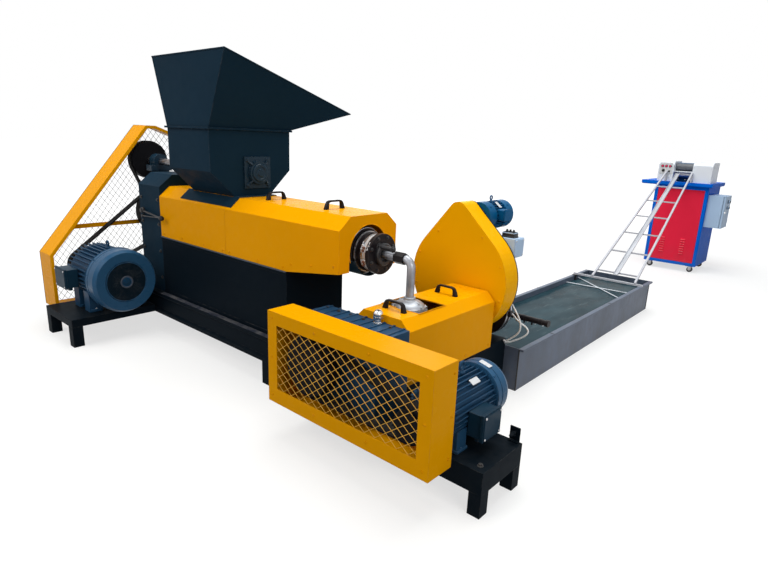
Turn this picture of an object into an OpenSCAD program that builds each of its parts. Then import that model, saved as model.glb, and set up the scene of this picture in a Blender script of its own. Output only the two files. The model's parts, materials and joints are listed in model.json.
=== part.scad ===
// Two-stage foam pelletizing line: feeding and main extruder, second extruder with
// filter drive and strand die, water tank, strand ladder and pelletizer.
// Millimetres, +Z up. The main screw runs along X and the second screw along Y.

/* [Base of the main extruder] */
// Height of the machine feet
foot_h = 145; // [120:5:180]
// Width of a square machine foot
foot_w = 70; // [50:5:90]
// Height of the channel plinth
plinth_h = 165; // [140:5:200]
// Width of the channel plinth
plinth_w = 532; // [500:2:580]
// Height of the cabinet on the plinth
cabinet_h = 430; // [380:5:480]
// How far the base runs on behind the gearbox
base_tail = 266; // [240:2:300]
// Length of the motor platform along the machine
platform_w = 484; // [440:4:520]
// How far the motor platform stands out from the plinth
platform_reach = 596; // [570:2:640]
// Thickness of the motor platform
platform_t = 55; // [40:1:70]

/* [Main cover and barrel] */
// Distance from the second screw axis to the front of the main cover
cover_front_gap = 300; // [280:5:340]
// Length of the whole main cover
cover_l = 1870; // [1800:10:1960]
// Length of the front section that overhangs the cabinet
cover_overhang = 428; // [380:4:470]
// Width of the main cover
cover_w = 448; // [430:2:480]
// Width of the flat top of the main cover
cover_top_w = 282; // [272:2:300]
// Height of its upright sides
cover_side_h = 290; // [270:2:310]
// Height of its sloping shoulders
cover_shoulder_h = 70; // [60:1:85]
// How far the lower edge rises towards the front
cover_rise = 62; // [40:2:80]
// Sheet thickness of covers and guards
sheet_t = 5; // [3:0.5:6]
// Height of the main screw axis over the cabinet
axis_rise = 160; // [150:2:170]
// Radius of the main barrel
barrel_r = 85; // [75:1:92]
// Radius of the heater band on the barrel end
heater_r = 100; // [95:1:108]
// Radius of the black end flange
end_flange_r = 110; // [104:1:120]
// Radius of the melt pipe
pipe_r = 22; // [18:1:28]

/* [Gearbox of the main extruder] */
// Length of the main gearbox
gearbox_l = 320; // [300:4:350]
// Width of the main gearbox
gearbox_w = 440; // [420:2:446]
// Height of its upright sides over the plinth
gearbox_side_h = 786; // [740:2:800]
// Height of its sloping lid
gearbox_lid_h = 84; // [60:2:90]
// Width of the flat top of its lid
gearbox_top_w = 230; // [200:2:260]

/* [Feeder and hopper] */
// Distance from the rear of the main cover to the rear of the feed chamber
chamber_tail = 335; // [325:5:345]
// Length of the feed chamber along the machine
chamber_l = 490; // [470:5:510]
// Width of the feed chamber
chamber_w = 610; // [590:2:640]
// Height of its upright walls
chamber_wall_h = 252; // [230:2:270]
// Height of its funnel
chamber_funnel_h = 158; // [150:1:170]
// Width of the throat at the foot of the funnel
throat_w = 270; // [250:2:272]
// Plate thickness of the feeder
plate_t = 6; // [5:0.5:8]
// Height of the hopper's high wall
hopper_high_h = 430; // [400:5:460]
// Height of the lip at the loading side
hopper_lip_h = 133; // [110:1:150]
// How far the loading chute reaches out past the chamber
hopper_reach = 524; // [480:2:560]
// Sideways flare of the hopper for each millimetre of height
hopper_flare_share = 0.398; // [0.36:0.002:0.44]
// Radius of the feeder shaft
feeder_shaft_r = 25; // [20:1:30]
// Reach of the feeder paddles from the shaft axis
paddle_r = 135; // [120:1:140]
// Sideways offset of the feeder shaft
feeder_y = 30; // [20:1:40]
// Height of the feeder shaft over the main cover
feeder_rise = 150; // [146:1:156]

/* [Main drive] */
// Height of the main motor axis over its platform
motor_axis_h = 240; // [232:1:250]
// Radius of the main motor's fan cowl
motor_cowl_r = 225; // [215:1:230]
// Length of the main motor from cowl to drive end
motor_l = 540; // [520:2:560]
// Distance from the plinth to the main motor axis
motor_out = 244; // [240:2:270]
// Depth of the main belt guard
guard_depth = 210; // [200:2:240]
// Height of the guard's top over the floor
guard_top_z = 1523; // [1500:1:1560]

/* [Second extruder] */
// Height of the second screw axis
second_axis_z = 500; // [490:2:520]
// Width of the second cover
second_cover_w = 350; // [330:2:370]
// Width of its flat top
second_top_w = 246; // [234:2:260]
// Height of its upright sides
second_side_h = 280; // [266:2:296]
// Height of its sloping shoulders
second_shoulder_h = 53; // [45:1:60]
// Length of the second cover before the inlet
second_front_l = 216; // [200:2:230]
// Length of the second cover behind the inlet
second_rear_l = 574; // [550:2:600]
// Height of the second cover over the floor
second_cover_z0 = 327; // [317:1:335]
// Radius of the second barrel
second_barrel_r = 65; // [55:1:75]

/* [Second drive] */
// Length of the second gearbox
gearbox2_l = 560; // [540:2:580]
// Width of the second gearbox
gearbox2_w = 230; // [210:2:250]
// Height of the second gearbox
gearbox2_h = 407; // [390:1:420]
// Length of the second belt guard
guard2_l = 1012; // [980:2:1040]
// Depth of the second belt guard
guard2_d = 159; // [145:1:175]
// Height of the second belt guard
guard2_h = 478; // [450:2:500]
// Height of its lower edge over the floor
guard2_z0 = 192; // [180:1:205]
// Height of the second motor stand
stand_z1 = 213; // [205:1:225]
// Thickness of the second motor stand
stand_t = 106; // [90:2:120]
// Radius of the second motor's fan cowl
motor2_cowl_r = 138; // [130:1:144]
// Height of the second motor axis over its stand
motor2_axis_h = 155; // [150:1:165]

/* [Filter drive and die] */
// Radius of the filter guard's wide end
filter_big_r = 337; // [322:1:352]
// Radius of the filter guard's narrow end
filter_small_r = 66; // [55:1:80]
// Height between the two centres of the filter guard
filter_centres = 395; // [380:1:410]
// Depth of the filter guard
filter_d = 138; // [125:1:150]
// Radius of the filter motor
filter_motor_r = 88; // [80:1:96]
// Length of the filter motor
filter_motor_l = 280; // [250:2:310]
// Length of the strand die tube
strand_die_l = 780; // [740:4:820]
// Radius of the strand die tube
strand_die_r = 18; // [15:0.5:24]

/* [Water tank] */
// Width of the water tank
tank_w = 590; // [560:2:620]
// Length of the water tank
tank_l = 2562; // [2450:2:2650]
// Height of the water tank
tank_h = 280; // [260:2:300]
// Wall thickness of the water tank
tank_t = 4; // [3:0.5:5]
// Width of its folded rim
tank_rim_w = 28; // [22:1:36]

/* [Strand ladder] */
// Width between the ladder rails at the tank
ladder_low_w = 394; // [370:2:410]
// Width between the ladder rails at the pelletizer
ladder_top_w = 290; // [270:2:310]
// Size of a square ladder rail
ladder_rail = 18; // [16:1:22]
// Number of rungs
ladder_rungs = 6; // [5:1:9]

/* [Pelletizer] */
// Width of the pelletizer cabinet
pellet_w = 610; // [590:2:640]
// Depth of the pelletizer cabinet
pellet_d = 620; // [590:2:650]
// Height of the pelletizer cabinet
pellet_h = 981; // [950:1:1010]
// Height of its casters
caster_h = 83; // [75:1:95]
// Distance from the water tank to the pelletizer cabinet
pellet_gap = 2150; // [2100:5:2200]
// Thickness of its table
table_t = 46; // [40:1:55]
// Height of the two roller housings
housing_h = 245; // [236:1:260]
// Radius of the feed rollers
roller_r = 42; // [38:0.5:44]
// Depth of the control box
control_d = 166; // [150:2:190]
// Width of the control box
control_w = 320; // [300:2:340]
// Height of the control box
control_h = 387; // [370:1:410]

/* [Hidden] */

$fn = 48;

// Colours
yellow = [0.93, 0.66, 0.10];
navy = [0.07, 0.08, 0.12];
slate = [0.20, 0.24, 0.30];
steel = [0.72, 0.73, 0.74];
dark = [0.08, 0.08, 0.09];
teal = [0.16, 0.42, 0.45];
blue = [0.02, 0.36, 0.86];
red = [0.78, 0.13, 0.12];
pale = [0.76, 0.80, 0.84];
white = [0.92, 0.92, 0.90];

// Shared small sizes
cut = 1;
seam = 2;
seam_ahead = 9;
run_gap = 0.3;
move_gap = 5;
round_steps = 32;
shaft_r = 35;

// Places along the main extruder
cover_x1 = -cover_front_gap;
cover_x0 = cover_x1 - cover_l;
cover_seam_x = cover_x0 + chamber_tail + chamber_l + seam_ahead;
cabinet_x1 = cover_x1 - cover_overhang;
gearbox_x0 = cover_x0 - gearbox_l;
base_x0 = gearbox_x0 - base_tail;
platform_x1 = base_x0 + platform_w;
plinth_y0 = -plinth_w / 2;
platform_y0 = plinth_y0 - platform_reach;

// Heights of the main extruder
cabinet_z0 = foot_h + plinth_h;
cover_z0 = cabinet_z0 + cabinet_h;
main_z = cover_z0 + axis_rise;
cover_side_z1 = cover_z0 + cover_side_h;
cover_z1 = cover_side_z1 + cover_shoulder_h;
platform_z1 = foot_h + platform_t;
gearbox_side_z1 = cabinet_z0 + gearbox_side_h;
gearbox_z1 = gearbox_side_z1 + gearbox_lid_h;

// Details of the base
plinth_web = 14;
plinth_flange = 22;
foot_inset = 157;
foot_mid_y = -20;
cabinet_rail_t = 4;
cabinet_rail_h = 26;
platform_wall = 8;

// Details of the covers and their handles
arch_r = 148;
handle_span = 136;
handle_rise = 40;
handle_r = 9;
handle_base_r = 15;
handle_base_h = 6;
handle_from_seam = 255;
handle_from_front = 275;
handle2_from_front = 96;
handle2_from_rear = 244;

// Barrel end and melt pipe
heater_l = 75;
end_flange_t = 25;
coupling_l = 62;
coupling_r = 32;
bend_r = 42;
heater_x1 = cover_x1 + heater_l;
flange_x1 = heater_x1 + end_flange_t;
coupling_x1 = -bend_r;
coupling_x0 = coupling_x1 - coupling_l;

// Feed chamber and hopper
chamber_x0 = cover_x0 + chamber_tail;
chamber_x1 = chamber_x0 + chamber_l;
chamber_mid_x = (chamber_x0 + chamber_x1) / 2;
chamber_bend_z = cover_z1 + chamber_funnel_h;
chamber_z1 = chamber_bend_z + chamber_wall_h;
chamber_end_t = 8;
chamber_flange_t = 12;
chamber_flange_w = 14;
hopper_z0 = chamber_z1 + chamber_flange_t;
hopper_lean = 15;
saddle_t = 6;
saddle_lap = 60;
saddle_drop_share = 0.8;
feeder_z = cover_z1 + feeder_rise;
bearing_plate_w = 200;
bearing_plate_t = 16;
bearing_boss_r = 72;
bearing_boss_l = 42;
paddle_count = 8;
paddle_w = 46;
paddle_t = 8;
paddle_step = 45;
shaft_end_in = 9;
post_back = 116;
post_x = base_x0 + post_back;
post_w = 120;
post_t = 90;
pillow_boss_r = 58;
pillow_w = 170;
pillow_h = 44;

// Main drive
motor_y = plinth_y0 - motor_out;
motor_z = platform_z1 + motor_axis_h;
motor_tail = 56;
motor_x0 = base_x0 + motor_tail;
motor_x1 = motor_x0 + motor_l;
motor_cowl_l = 150;
motor_fin_h = 26;
motor_fin_t = 7;
motor_fins = 40;
motor_fin_r = 205;
motor_foot_w = 90;
motor_foot_gap = 60;
guard_x1 = base_x0;
guard_x0 = guard_x1 - guard_depth;
guard_foot_gap = 12;
guard_z0 = foot_h + guard_foot_gap;
guard_low_rise = 129;
guard_motor_side = 286;
guard_motor_in = 180;
guard_low_z = motor_z + guard_low_rise;
guard_y0 = motor_y - guard_motor_side;
guard_peak_y0 = 0;
guard_peak_y1 = 80;
guard_far_y = 420;
guard_far_z1 = 1400;
guard_far_z0 = 700;
guard_low_y1 = motor_y + guard_motor_in;
guard_lip = 24;
guard_bar_z = 716;
guard_bar_h = 34;
mesh_t = 4;
mesh_bar = 5;
mesh_pitch = 96;
mesh2_pitch = 48;
pulley_y = 150;
pulley_rise = 510;
pulley_z = cabinet_z0 + pulley_rise;
pulley_r = 195;
pulley_w = 84;
motor_pulley_r = 105;
sheave_r = 80;
sheave_w = 66;
feeder_pulley_r = 145;
belt_t = 9;
belt_gap = 0.4;
belt_steps = 48;
belt_w_share = 0.8;
pulley_side_gap = 14;
pulley_x0 = guard_x0 + pulley_side_gap;
pulley_x1 = pulley_x0 + pulley_w;
sheave_side_gap = 12;
sheave_x0 = pulley_x1 + sheave_side_gap;
sheave_x1 = sheave_x0 + sheave_w;
input_boss_r = 105;
input_boss_l = 70;
input_shaft_r = 32;

// Second extruder
second_y0 = -second_front_l;
second_y1 = second_rear_l;
second_side_z1 = second_cover_z0 + second_side_h;
second_z1 = second_side_z1 + second_shoulder_h;
inlet_r = 70;
inlet_gap = 3;
inlet_flange_t = 46;
inlet_flange_r = 92;
inlet_open_w = 250;
inlet_open_y0 = -78;
inlet_open_y1 = 150;
inlet_z1 = second_z1 - sheet_t - inlet_gap;
frame_w = 320;
frame_h = 182;
frame_foot_w = 60;

// Second drive
gearbox2_y1 = second_y0;
gearbox2_y0 = gearbox2_y1 - gearbox2_w;
gearbox2_x1 = 180;
gearbox2_x0 = gearbox2_x1 - gearbox2_l;
gearbox2_z1 = stand_z1 + gearbox2_h;
gearbox2_split_rise = 235;
gearbox2_split_z = stand_z1 + gearbox2_split_rise;
gearbox2_split_h = 34;
gearbox2_split_out = 10;
gearbox2_rib_t = 12;
gearbox2_rib_h = 5;
gearbox2_ribs = 9;
oil_cap_r = 17;
oil_cap_h = 24;
oil_cap_side = 180;
oil_cap_in = 26;
guard2_y1 = gearbox2_y0;
guard2_y0 = guard2_y1 - guard2_d;
guard2_side_lap = 20;
guard2_x0 = gearbox2_x0 - guard2_side_lap;
guard2_x1 = guard2_x0 + guard2_l;
guard2_z1 = guard2_z0 + guard2_h;
guard2_lip = 36;
window_side = 66;
window_top = 66;
window_bottom = 78;
stand_reach = 140;
stand_x1 = guard2_x1 + stand_reach;
stand_set_back = 23;
stand_d = 328;
stand_y0 = guard2_y1 + stand_set_back;
stand_y1 = stand_y0 + stand_d;
motor2_x = 470;
motor2_z = stand_z1 + motor2_axis_h;
motor2_front_gap = 14;
motor2_l = 429;
motor2_y0 = stand_y0 + motor2_front_gap;
motor2_y1 = motor2_y0 + motor2_l;
motor2_cowl_l = 105;
motor2_fin_r = 126;
motor2_fin_h = 18;
motor2_fin_t = 5;
motor2_fins = 32;
motor2_foot_w = 70;
pulley2_x = -150;
pulley2_z = 430;
pulley2_r = 140;
pulley2_w = 80;
motor2_pulley_r = 72;
pulley2_back = 30;
pulley2_y0 = guard2_y0 + pulley2_back;
pulley2_y1 = pulley2_y0 + pulley2_w;
motor2_shaft_r = 24;

// Filter drive and die
filter_x = -108;
filter_lean = -25;
filter_z = 690;
filter_gap = 16;
filter_y0 = second_y1 + filter_gap;
filter_y1 = filter_y0 + filter_d;
filter_plate_t = 10;
filter_plate_y1 = filter_y1 + filter_plate_t;
filter_top_x = filter_x + filter_lean;
filter_top_z = filter_z + filter_centres;
filter_motor_x = -85;
filter_motor_drop = 27;
filter_motor_z = filter_top_z - filter_motor_drop;
filter_box_x0 = 50;
filter_box_w = 130;
filter_box_d = 110;
filter_box_h = 112;
filter_box_z0 = 842;
filter_knob_w = 78;
filter_knob_d = 50;
filter_knob_h = 30;
die_drum_r = 172;
die_boss_x = 186;
die_boss_w = 34;
die_boss_y = 38;
die_boss_drop = 10;
die_neck_w = 84;
die_l = 66;
die_y1 = filter_plate_y1 + die_l;
strand_neck_l = 66;
strand_y = die_y1 + strand_neck_l;
strand_drop = 44;
strand_z = second_axis_z - strand_drop;
die_cap_r = 22;
die_cap_t = 18;
nozzle_count = 12;
nozzle_r = 6;
nozzle_l = 14;
nozzle_span_share = 0.72;

// Water tank
tank_x = -35;
tank_x0 = tank_x - tank_w / 2;
tank_x1 = tank_x + tank_w / 2;
tank_gap = 209;
tank_y0 = second_y1 + tank_gap;
tank_y1 = tank_y0 + tank_l;
tank_lip = 14;

// Pelletizer
pellet_x0 = -422;
pellet_x1 = pellet_x0 + pellet_w;
pellet_y0 = tank_y1 + pellet_gap;
pellet_y1 = pellet_y0 + pellet_d;
pellet_z1 = caster_h + pellet_h;
panel_edge = 38;
panel_recess = 10;
panel_t = 7;
panel_fit = 1.5;
louvre_rows = 7;
louvre_h = 14;
louvre_pitch = 30;
louvre_rise = 140;
louvre_side = 117;
louvre_w = 54;
louvre_out = 9;
table_over_left = 163;
table_over_right = 40;
table_over_front = 45;
table_over_back = 30;
table_x0 = pellet_x0 - table_over_left;
table_x1 = pellet_x1 + table_over_right;
table_y0 = pellet_y0 - table_over_front;
table_y1 = pellet_y1 + table_over_back;
table_z1 = pellet_z1 + table_t;
table_edge = 8;
housing_over_front = 15;
housing_y0 = pellet_y0 - housing_over_front;
housing_d = 330;
housing_left_x0 = -417;
housing_left_x1 = -240;
housing_right_x0 = -26;
housing_right_x1 = 190;
housing_chamfer = 40;
roller_back = 110;
roller_low_rise = 94;
roller_y = housing_y0 + roller_back;
roller_low_z = table_z1 + roller_low_rise;
nip_gap = 3;
roller_up_z = roller_low_z + roller_r * 2 + nip_gap;
roller_end_gap = 6;
roller_pin_r = 14;
roller_pin_l = 26;
feed_plate_t = 8;
feed_plate_drop = 6;
control_x0 = pellet_x1;
control_x1 = control_x0 + control_d;
control_back = 35;
control_drop = 89;
control_y0 = pellet_y0 + control_back;
control_y1 = control_y0 + control_w;
control_z1 = pellet_z1 - control_drop;
control_z0 = control_z1 - control_h;
control_wall = 4;
door_t = 20;
door_x0 = control_x1 + move_gap;
door_x1 = door_x0 + door_t;
door_skin = 4;
hinge_r = 10;
hinge_pin_r = 5;
hinge_l = 40;
hinge_lug_h = 10;
hinge_gap = 1;
hinge_x = door_x0 + door_t / 2;
hinge_y = control_y1 + hinge_r;
hinge_edge = 6;
hinge_end = 70;
knob_r = 16;
knob_h = 20;
knob_drop = 70;
caster_r = 34;
caster_w = 26;
caster_inset = 66;
caster_plate = 90;
caster_plate_t = 6;
caster_cheek_t = 5;
caster_axle_r = 6;

// Strand ladder
ladder_low_x = 22;
ladder_low_back = 303;
ladder_low_rise = 12;
ladder_top_x = -165;
ladder_top_in = 12;
ladder_top_rise = 110;
ladder_low = [ladder_low_x, tank_y1 - ladder_low_back, tank_h + ladder_low_rise];
ladder_top = [ladder_top_x, table_y0 + ladder_top_in, table_z1 + ladder_top_rise];
ladder_run = ladder_top - ladder_low;
ladder_l = norm(ladder_run);
ladder_pitch = atan2(ladder_run[2], norm([ladder_run[0], ladder_run[1]]));
ladder_rung = 14;
ladder_first_share = 0.047;
ladder_last_share = 0.824;
guide_w = 44;
guide_h = 16;
guide_t = 4;
guide_low_share = 0.03;
guide_top_share = 0.97;
guide_gap = 0.8;
guide_lift = ladder_rung * (cos(ladder_pitch) + sin(ladder_pitch) / 2) + guide_gap;

// Heater leads at the die, chosen by hand
lead_r = 5;
lead_sides = 8;
// Points from the back of the filter plate and the second screw axis
lead_long = [[180, 0, 80], [180, 8, 80], [185, 14, 71], [207, 16, 44], [230, 16, 13], [250, 16, -18],
    [263, 16, -50], [264, 16, -85], [252, 16, -112], [232, 16, -136], [205, 16, -160], [183, 16, -176],
    [168, 16, -181], [160, 16, -181]];
lead_short = [[186, 38, -10], [194, 38, -10], [206, 38, -18], [224, 37, -33], [247, 36, -46],
    [271, 34, -56],
    [291, 33, -65], [304, 32, -76], [309, 32, -89], [306, 32, -103], [296, 32, -117], [278, 32, -134],
    [250, 32, -154], [217, 32, -175], [190, 32, -190], [168, 32, -196], [160, 32, -196]];

// Overall place, so that the origin lies under the middle of the line
plant_x0 = guard_x0 - mesh_t;
plant_x1 = stand_x1;
plant_y0 = platform_y0;
plant_y1 = table_y1;
plant_shift = [-(plant_x0 + plant_x1) / 2, -(plant_y0 + plant_y1) / 2, 0];

// Shared shapes

module block(low, high) {
    translate(low) cube(high - low);
}

module rod_x(x0, x1, y, z, r) {
    translate([x0, y, z]) rotate([0, 90, 0]) cylinder(h = x1 - x0, r = r);
}

module rod_y(y0, y1, x, z, r) {
    translate([x, y0, z]) rotate([-90, 0, 0]) cylinder(h = y1 - y0, r = r);
}

module rod_z(z0, z1, x, y, r) {
    translate([x, y, z0]) cylinder(h = z1 - z0, r = r);
}

// Stands a YZ outline up and runs it along X
module run_x(x0, x1) {
    translate([x0, 0, 0]) rotate([90, 0, 90]) linear_extrude(x1 - x0) children();
}

// Stands an XZ outline up and runs it along Y
module run_y(y0, y1) {
    translate([0, y1, 0]) rotate([90, 0, 0]) linear_extrude(y1 - y0) children();
}

// Outline of a cover with upright sides and sloping shoulders
module cover_outline(w, top_w, z0, side_z, top_z, inset) {
    polygon([[-w / 2 + inset, z0], [-w / 2 + inset, side_z - inset / 2],
        [-top_w / 2 + inset / 2, top_z - inset],
        [top_w / 2 - inset / 2, top_z - inset], [w / 2 - inset, side_z - inset / 2], [w / 2 - inset, z0]]);
}

// Outline of a round body with straight fins
function turned(p, a) = [p[0] * cos(a) - p[1] * sin(a), p[0] * sin(a) + p[1] * cos(a)];
function fin_points(core_r, fin_r, fin_t, fins) = [for (i = [0 : fins - 1])
    for (p = [[core_r, -fin_t / 2], [fin_r, -fin_t / 2], [fin_r, fin_t / 2],
        [core_r, fin_t / 2]]) turned(p, i * 360 / fins)];

// Motor of finned body and feet, its axis along X from the drive end
module finned_motor(length, fin_r, fin_h, fin_t, fins, foot_w, foot_gap, axis_h, nose_r) {
    core_r = fin_r - fin_h;
    rotate([90, 0, 90]) linear_extrude(length) polygon(fin_points(core_r, fin_r, fin_t, fins));
    translate([-foot_gap / 3, 0, 0]) rotate([0, 90, 0]) cylinder(h = foot_gap / 3, r = nose_r);
    for (side = [-1, 1]) for (x = [foot_gap, length - foot_gap - foot_w])
        translate([x, side * core_r * 0.8 - foot_w / 2, -axis_h])
            cube([foot_w, foot_w, axis_h - core_r * 0.5]);
}

// Fan cowl along X with a rounded rim and a sunk middle
module fan_cowl(length, r, hub_r) {
    rotate([0, 90, 0]) rotate_extrude() polygon([[0, 0], [r, 0], [r, length * 0.8], [r * 0.93, length],
        [r * 0.66, length], [r * 0.62, length * 0.93], [hub_r, length * 0.93], [hub_r, length],
            [0, length]]);
}

// Belt loop round two pulleys, in plan, its flats clear of the round pulleys
function flat_r(r) = (r + belt_gap) / cos(180 / belt_steps);

module belt_loop(a, ra, b, rb, t) {
    difference() {
        hull() {
            translate(a) circle(r = flat_r(ra) + t, $fn = belt_steps);
            translate(b) circle(r = flat_r(rb) + t, $fn = belt_steps);
        }
        hull() {
            translate(a) circle(r = flat_r(ra), $fn = belt_steps);
            translate(b) circle(r = flat_r(rb), $fn = belt_steps);
        }
    }
}

// Outline with diamond holes wherever a whole hole fits inside it
function cross2(a, b) = a[0] * b[1] - a[1] * b[0];
function edge_room(p, a, b) = cross2(p - a, unit(b - a));
function room(p, o) = min([for (i = [0 : len(o) - 1]) edge_room(p, o[i], o[(i + 1) % len(o)])]);
function hole_centres(o, low, high, pitch) = [for (x = [low[0] : pitch / 2 : high[0]])
    for (y = [low[1] : pitch / 2 : high[1]]) let (i = round((x - low[0])
        * 2 / pitch), j = round((y - low[1]) * 2 / pitch))
        if ((i + j) % 2 == 0 && room([x, y], o) > pitch / 2) [x, y]];

module mesh_pattern(o, low, high, pitch) {
    half = pitch / 2 - mesh_bar;
    centres = hole_centres(o, low, high, pitch);
    corners = [[half, 0], [0, half], [-half, 0], [0, -half]];
    points = concat(o, [for (c = centres) for (k = corners) c + k]);
    rim = [for (i = [0 : len(o) - 1]) i];
    holes = [for (i = [0 : len(centres) - 1]) [for (k = [0 : 3]) len(o) + i * 4 + k]];
    polygon(points, concat([rim], holes));
}

// Bow handle with two round feet, standing at the origin and spanning Y
module bow_handle() {
    for (side = [-1, 1]) translate([0, side * handle_span / 2, 0]) {
        cylinder(h = handle_base_h, r = handle_base_r);
        cylinder(h = handle_rise - handle_r * 2, r = handle_r);
    }
    translate([0, 0, handle_rise - handle_r * 2]) rotate([90, 0, 90]) bow_corners();
    translate([0, -handle_span / 2 + handle_r * 2, handle_rise]) rotate([-90, 0, 0])
        cylinder(h = handle_span - handle_r * 4, r = handle_r);
}

module bow_corners() {
    for (side = [-1, 1]) translate([side * (handle_span / 2 - handle_r * 2), 0, 0])
        rotate([0, 0, side > 0 ? 0 : 90]) rotate_extrude(angle = 90) translate([handle_r * 2, 0])
            circle(r = handle_r);
}

// Tube swept along a list of points
function unit(v) = v / norm(v);
function lead_dir(p, i) = unit(p[min(i + 1, len(p) - 1)] - p[max(i - 1, 0)]);
function lead_side(d, ref) = unit(cross(d, ref));
function lead_ring(p, i, ref) = let (d = lead_dir(p, i), a = lead_side(d, ref), b = cross(d, a))
    [for (k = [0 : lead_sides - 1]) p[i] + lead_r * (a * cos(k * 360 / lead_sides)
        + b * sin(k * 360 / lead_sides))];

module lead(p, ref) {
    rings = len(p);
    points = [for (i = [0 : rings - 1]) each lead_ring(p, i, ref)];
    sides = [for (i = [0 : rings - 2]) for (k = [0 : lead_sides - 1]) let (n = (k + 1) % lead_sides)
        [i * lead_sides + k, i * lead_sides + n, (i + 1) * lead_sides + n, (i + 1) * lead_sides + k]];
    first = [for (k = [lead_sides - 1 : -1 : 0]) k];
    last = [for (k = [0 : lead_sides - 1]) (rings - 1) * lead_sides + k];
    polyhedron(points, concat([first], sides, [last]));
}

// Panel between an outer and an inner quadrilateral
module panel(outer, inner) {
    hull() polyhedron(concat(outer, inner), [[0, 1, 2, 3], [7, 6, 5, 4], [0, 4, 5, 1], [1, 5, 6, 2],
        [2, 6, 7, 3], [3, 7, 4, 0]]);
}

// Base of the main extruder

module base_plinth() color(navy) run_x(base_x0, cabinet_x1)
    polygon([[-plinth_w / 2, foot_h], [-plinth_w / 2, foot_h + plinth_flange],
        [-plinth_w / 2 + plinth_web, foot_h + plinth_flange + plinth_web],
        [-plinth_w / 2 + plinth_web, cabinet_z0 - plinth_flange - plinth_web],
        [-plinth_w / 2, cabinet_z0 - plinth_flange], [-plinth_w / 2, cabinet_z0],
            [plinth_w / 2, cabinet_z0],
        [plinth_w / 2, cabinet_z0 - plinth_flange],
        [plinth_w / 2 - plinth_web, cabinet_z0 - plinth_flange - plinth_web],
        [plinth_w / 2 - plinth_web, foot_h + plinth_flange + plinth_web],
        [plinth_w / 2, foot_h + plinth_flange], [plinth_w / 2, foot_h]]);

module foot(x, y, w, h) {
    block([x - w / 2, y - w / 2, 0], [x + w / 2, y + w / 2, h]);
}

module machine_feet() color(navy) {
    base_mid = (base_x0 + cabinet_x1) / 2;
    for (side = [-1, 1]) foot(cabinet_x1 - foot_inset, side * (plinth_w - foot_w) / 2, foot_w, foot_h);
    for (x = [base_x0 + foot_inset, base_mid]) for (y = [foot_mid_y, (plinth_w - foot_w) / 2])
        foot(x, y, foot_w, foot_h);
    for (x = [base_x0 + foot_w / 2, platform_x1 - foot_w / 2])
        foot(x, platform_y0 + foot_w / 2, foot_w, foot_h);
    for (side = [-1, 1]) for (y = [second_y0 + foot_w, tank_y0 - frame_foot_w / 2])
        foot(side * (frame_w - frame_foot_w) / 2, y, frame_foot_w, second_cover_z0 - frame_h);
    for (y = [stand_y0 + frame_foot_w / 2, stand_y1 - frame_foot_w / 2])
        foot(stand_x1 - frame_foot_w / 2, y, frame_foot_w, stand_z1 - stand_t);
    foot(gearbox2_x0 + frame_foot_w / 2, gearbox2_y1 - frame_foot_w / 2, frame_foot_w, stand_z1 - stand_t);
}

module base_cabinet() color(navy) {
    block([cover_x0, -cover_w / 2, cabinet_z0], [cabinet_x1, cover_w / 2, cover_z0]);
    for (z = [cabinet_z0, cover_z0 - cabinet_rail_h])
        block([cover_x0, -cover_w / 2 - cabinet_rail_t, z],
            [cabinet_x1, cover_w / 2 + cabinet_rail_t, z + cabinet_rail_h]);
}

module motor_platform() color(navy) difference() {
    block([base_x0, platform_y0, foot_h], [platform_x1, plinth_y0, platform_z1]);
    block([base_x0 + foot_w, platform_y0 + foot_w, foot_h - cut],
        [platform_x1 - foot_w, plinth_y0 - foot_w, platform_z1 - platform_wall]);
}

module main_gearbox() color(navy) {
    run_x(gearbox_x0, cover_x0) polygon([[-gearbox_w / 2, cabinet_z0], [-gearbox_w / 2, gearbox_side_z1],
        [-gearbox_top_w / 2, gearbox_z1], [gearbox_top_w / 2, gearbox_z1], [gearbox_w / 2, gearbox_side_z1],
        [gearbox_w / 2, cabinet_z0]]);
    rod_x(gearbox_x0 - input_boss_l, gearbox_x0, pulley_y, pulley_z, input_boss_r);
    rod_x(sheave_x1, gearbox_x0, pulley_y, pulley_z, input_shaft_r);
}

module feeder_post() color(navy) {
    block([post_x - post_t / 2, feeder_y - post_w / 2, cabinet_z0],
        [post_x + post_t / 2, feeder_y + post_w / 2, feeder_z - bearing_boss_r]);
}

// Covers

module main_cover_outline(inset) {
    cover_outline(cover_w, cover_top_w, cover_z0 - (inset > 0 ? cut : 0), cover_side_z1, cover_z1, inset);
}

module main_cover_rear() color(yellow) difference() {
    run_x(cover_x0, cover_seam_x - seam) main_cover_outline(0);
    run_x(cover_x0 - cut, cover_seam_x) main_cover_outline(sheet_t);
    block([chamber_x0 + chamber_end_t, -throat_w / 2 + plate_t, cover_z1 - sheet_t * 2],
        [chamber_x1 - chamber_end_t, throat_w / 2 - plate_t, cover_z1 + cut]);
}

module main_cover_front() color(yellow) difference() {
    run_x(cover_seam_x, cover_x1) main_cover_outline(0);
    run_x(cover_seam_x - cut, cover_x1 - sheet_t) main_cover_outline(sheet_t);
    rod_x(cover_x1 - sheet_t - cut, cover_x1 + cut, 0, main_z, arch_r);
    block([cover_x1 - sheet_t - cut, -arch_r, cover_z0 - cut], [cover_x1 + cut, arch_r, main_z]);
    run_y(-cover_w / 2 - cut, cover_w / 2 + cut) polygon([[cabinet_x1, cover_z0 - cut],
        [cabinet_x1, cover_z0],
        [cover_x1, cover_z0 + cover_rise], [cover_x1 + cut, cover_z0 + cover_rise],
            [cover_x1 + cut, cover_z0 - cut]]);
}

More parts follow.
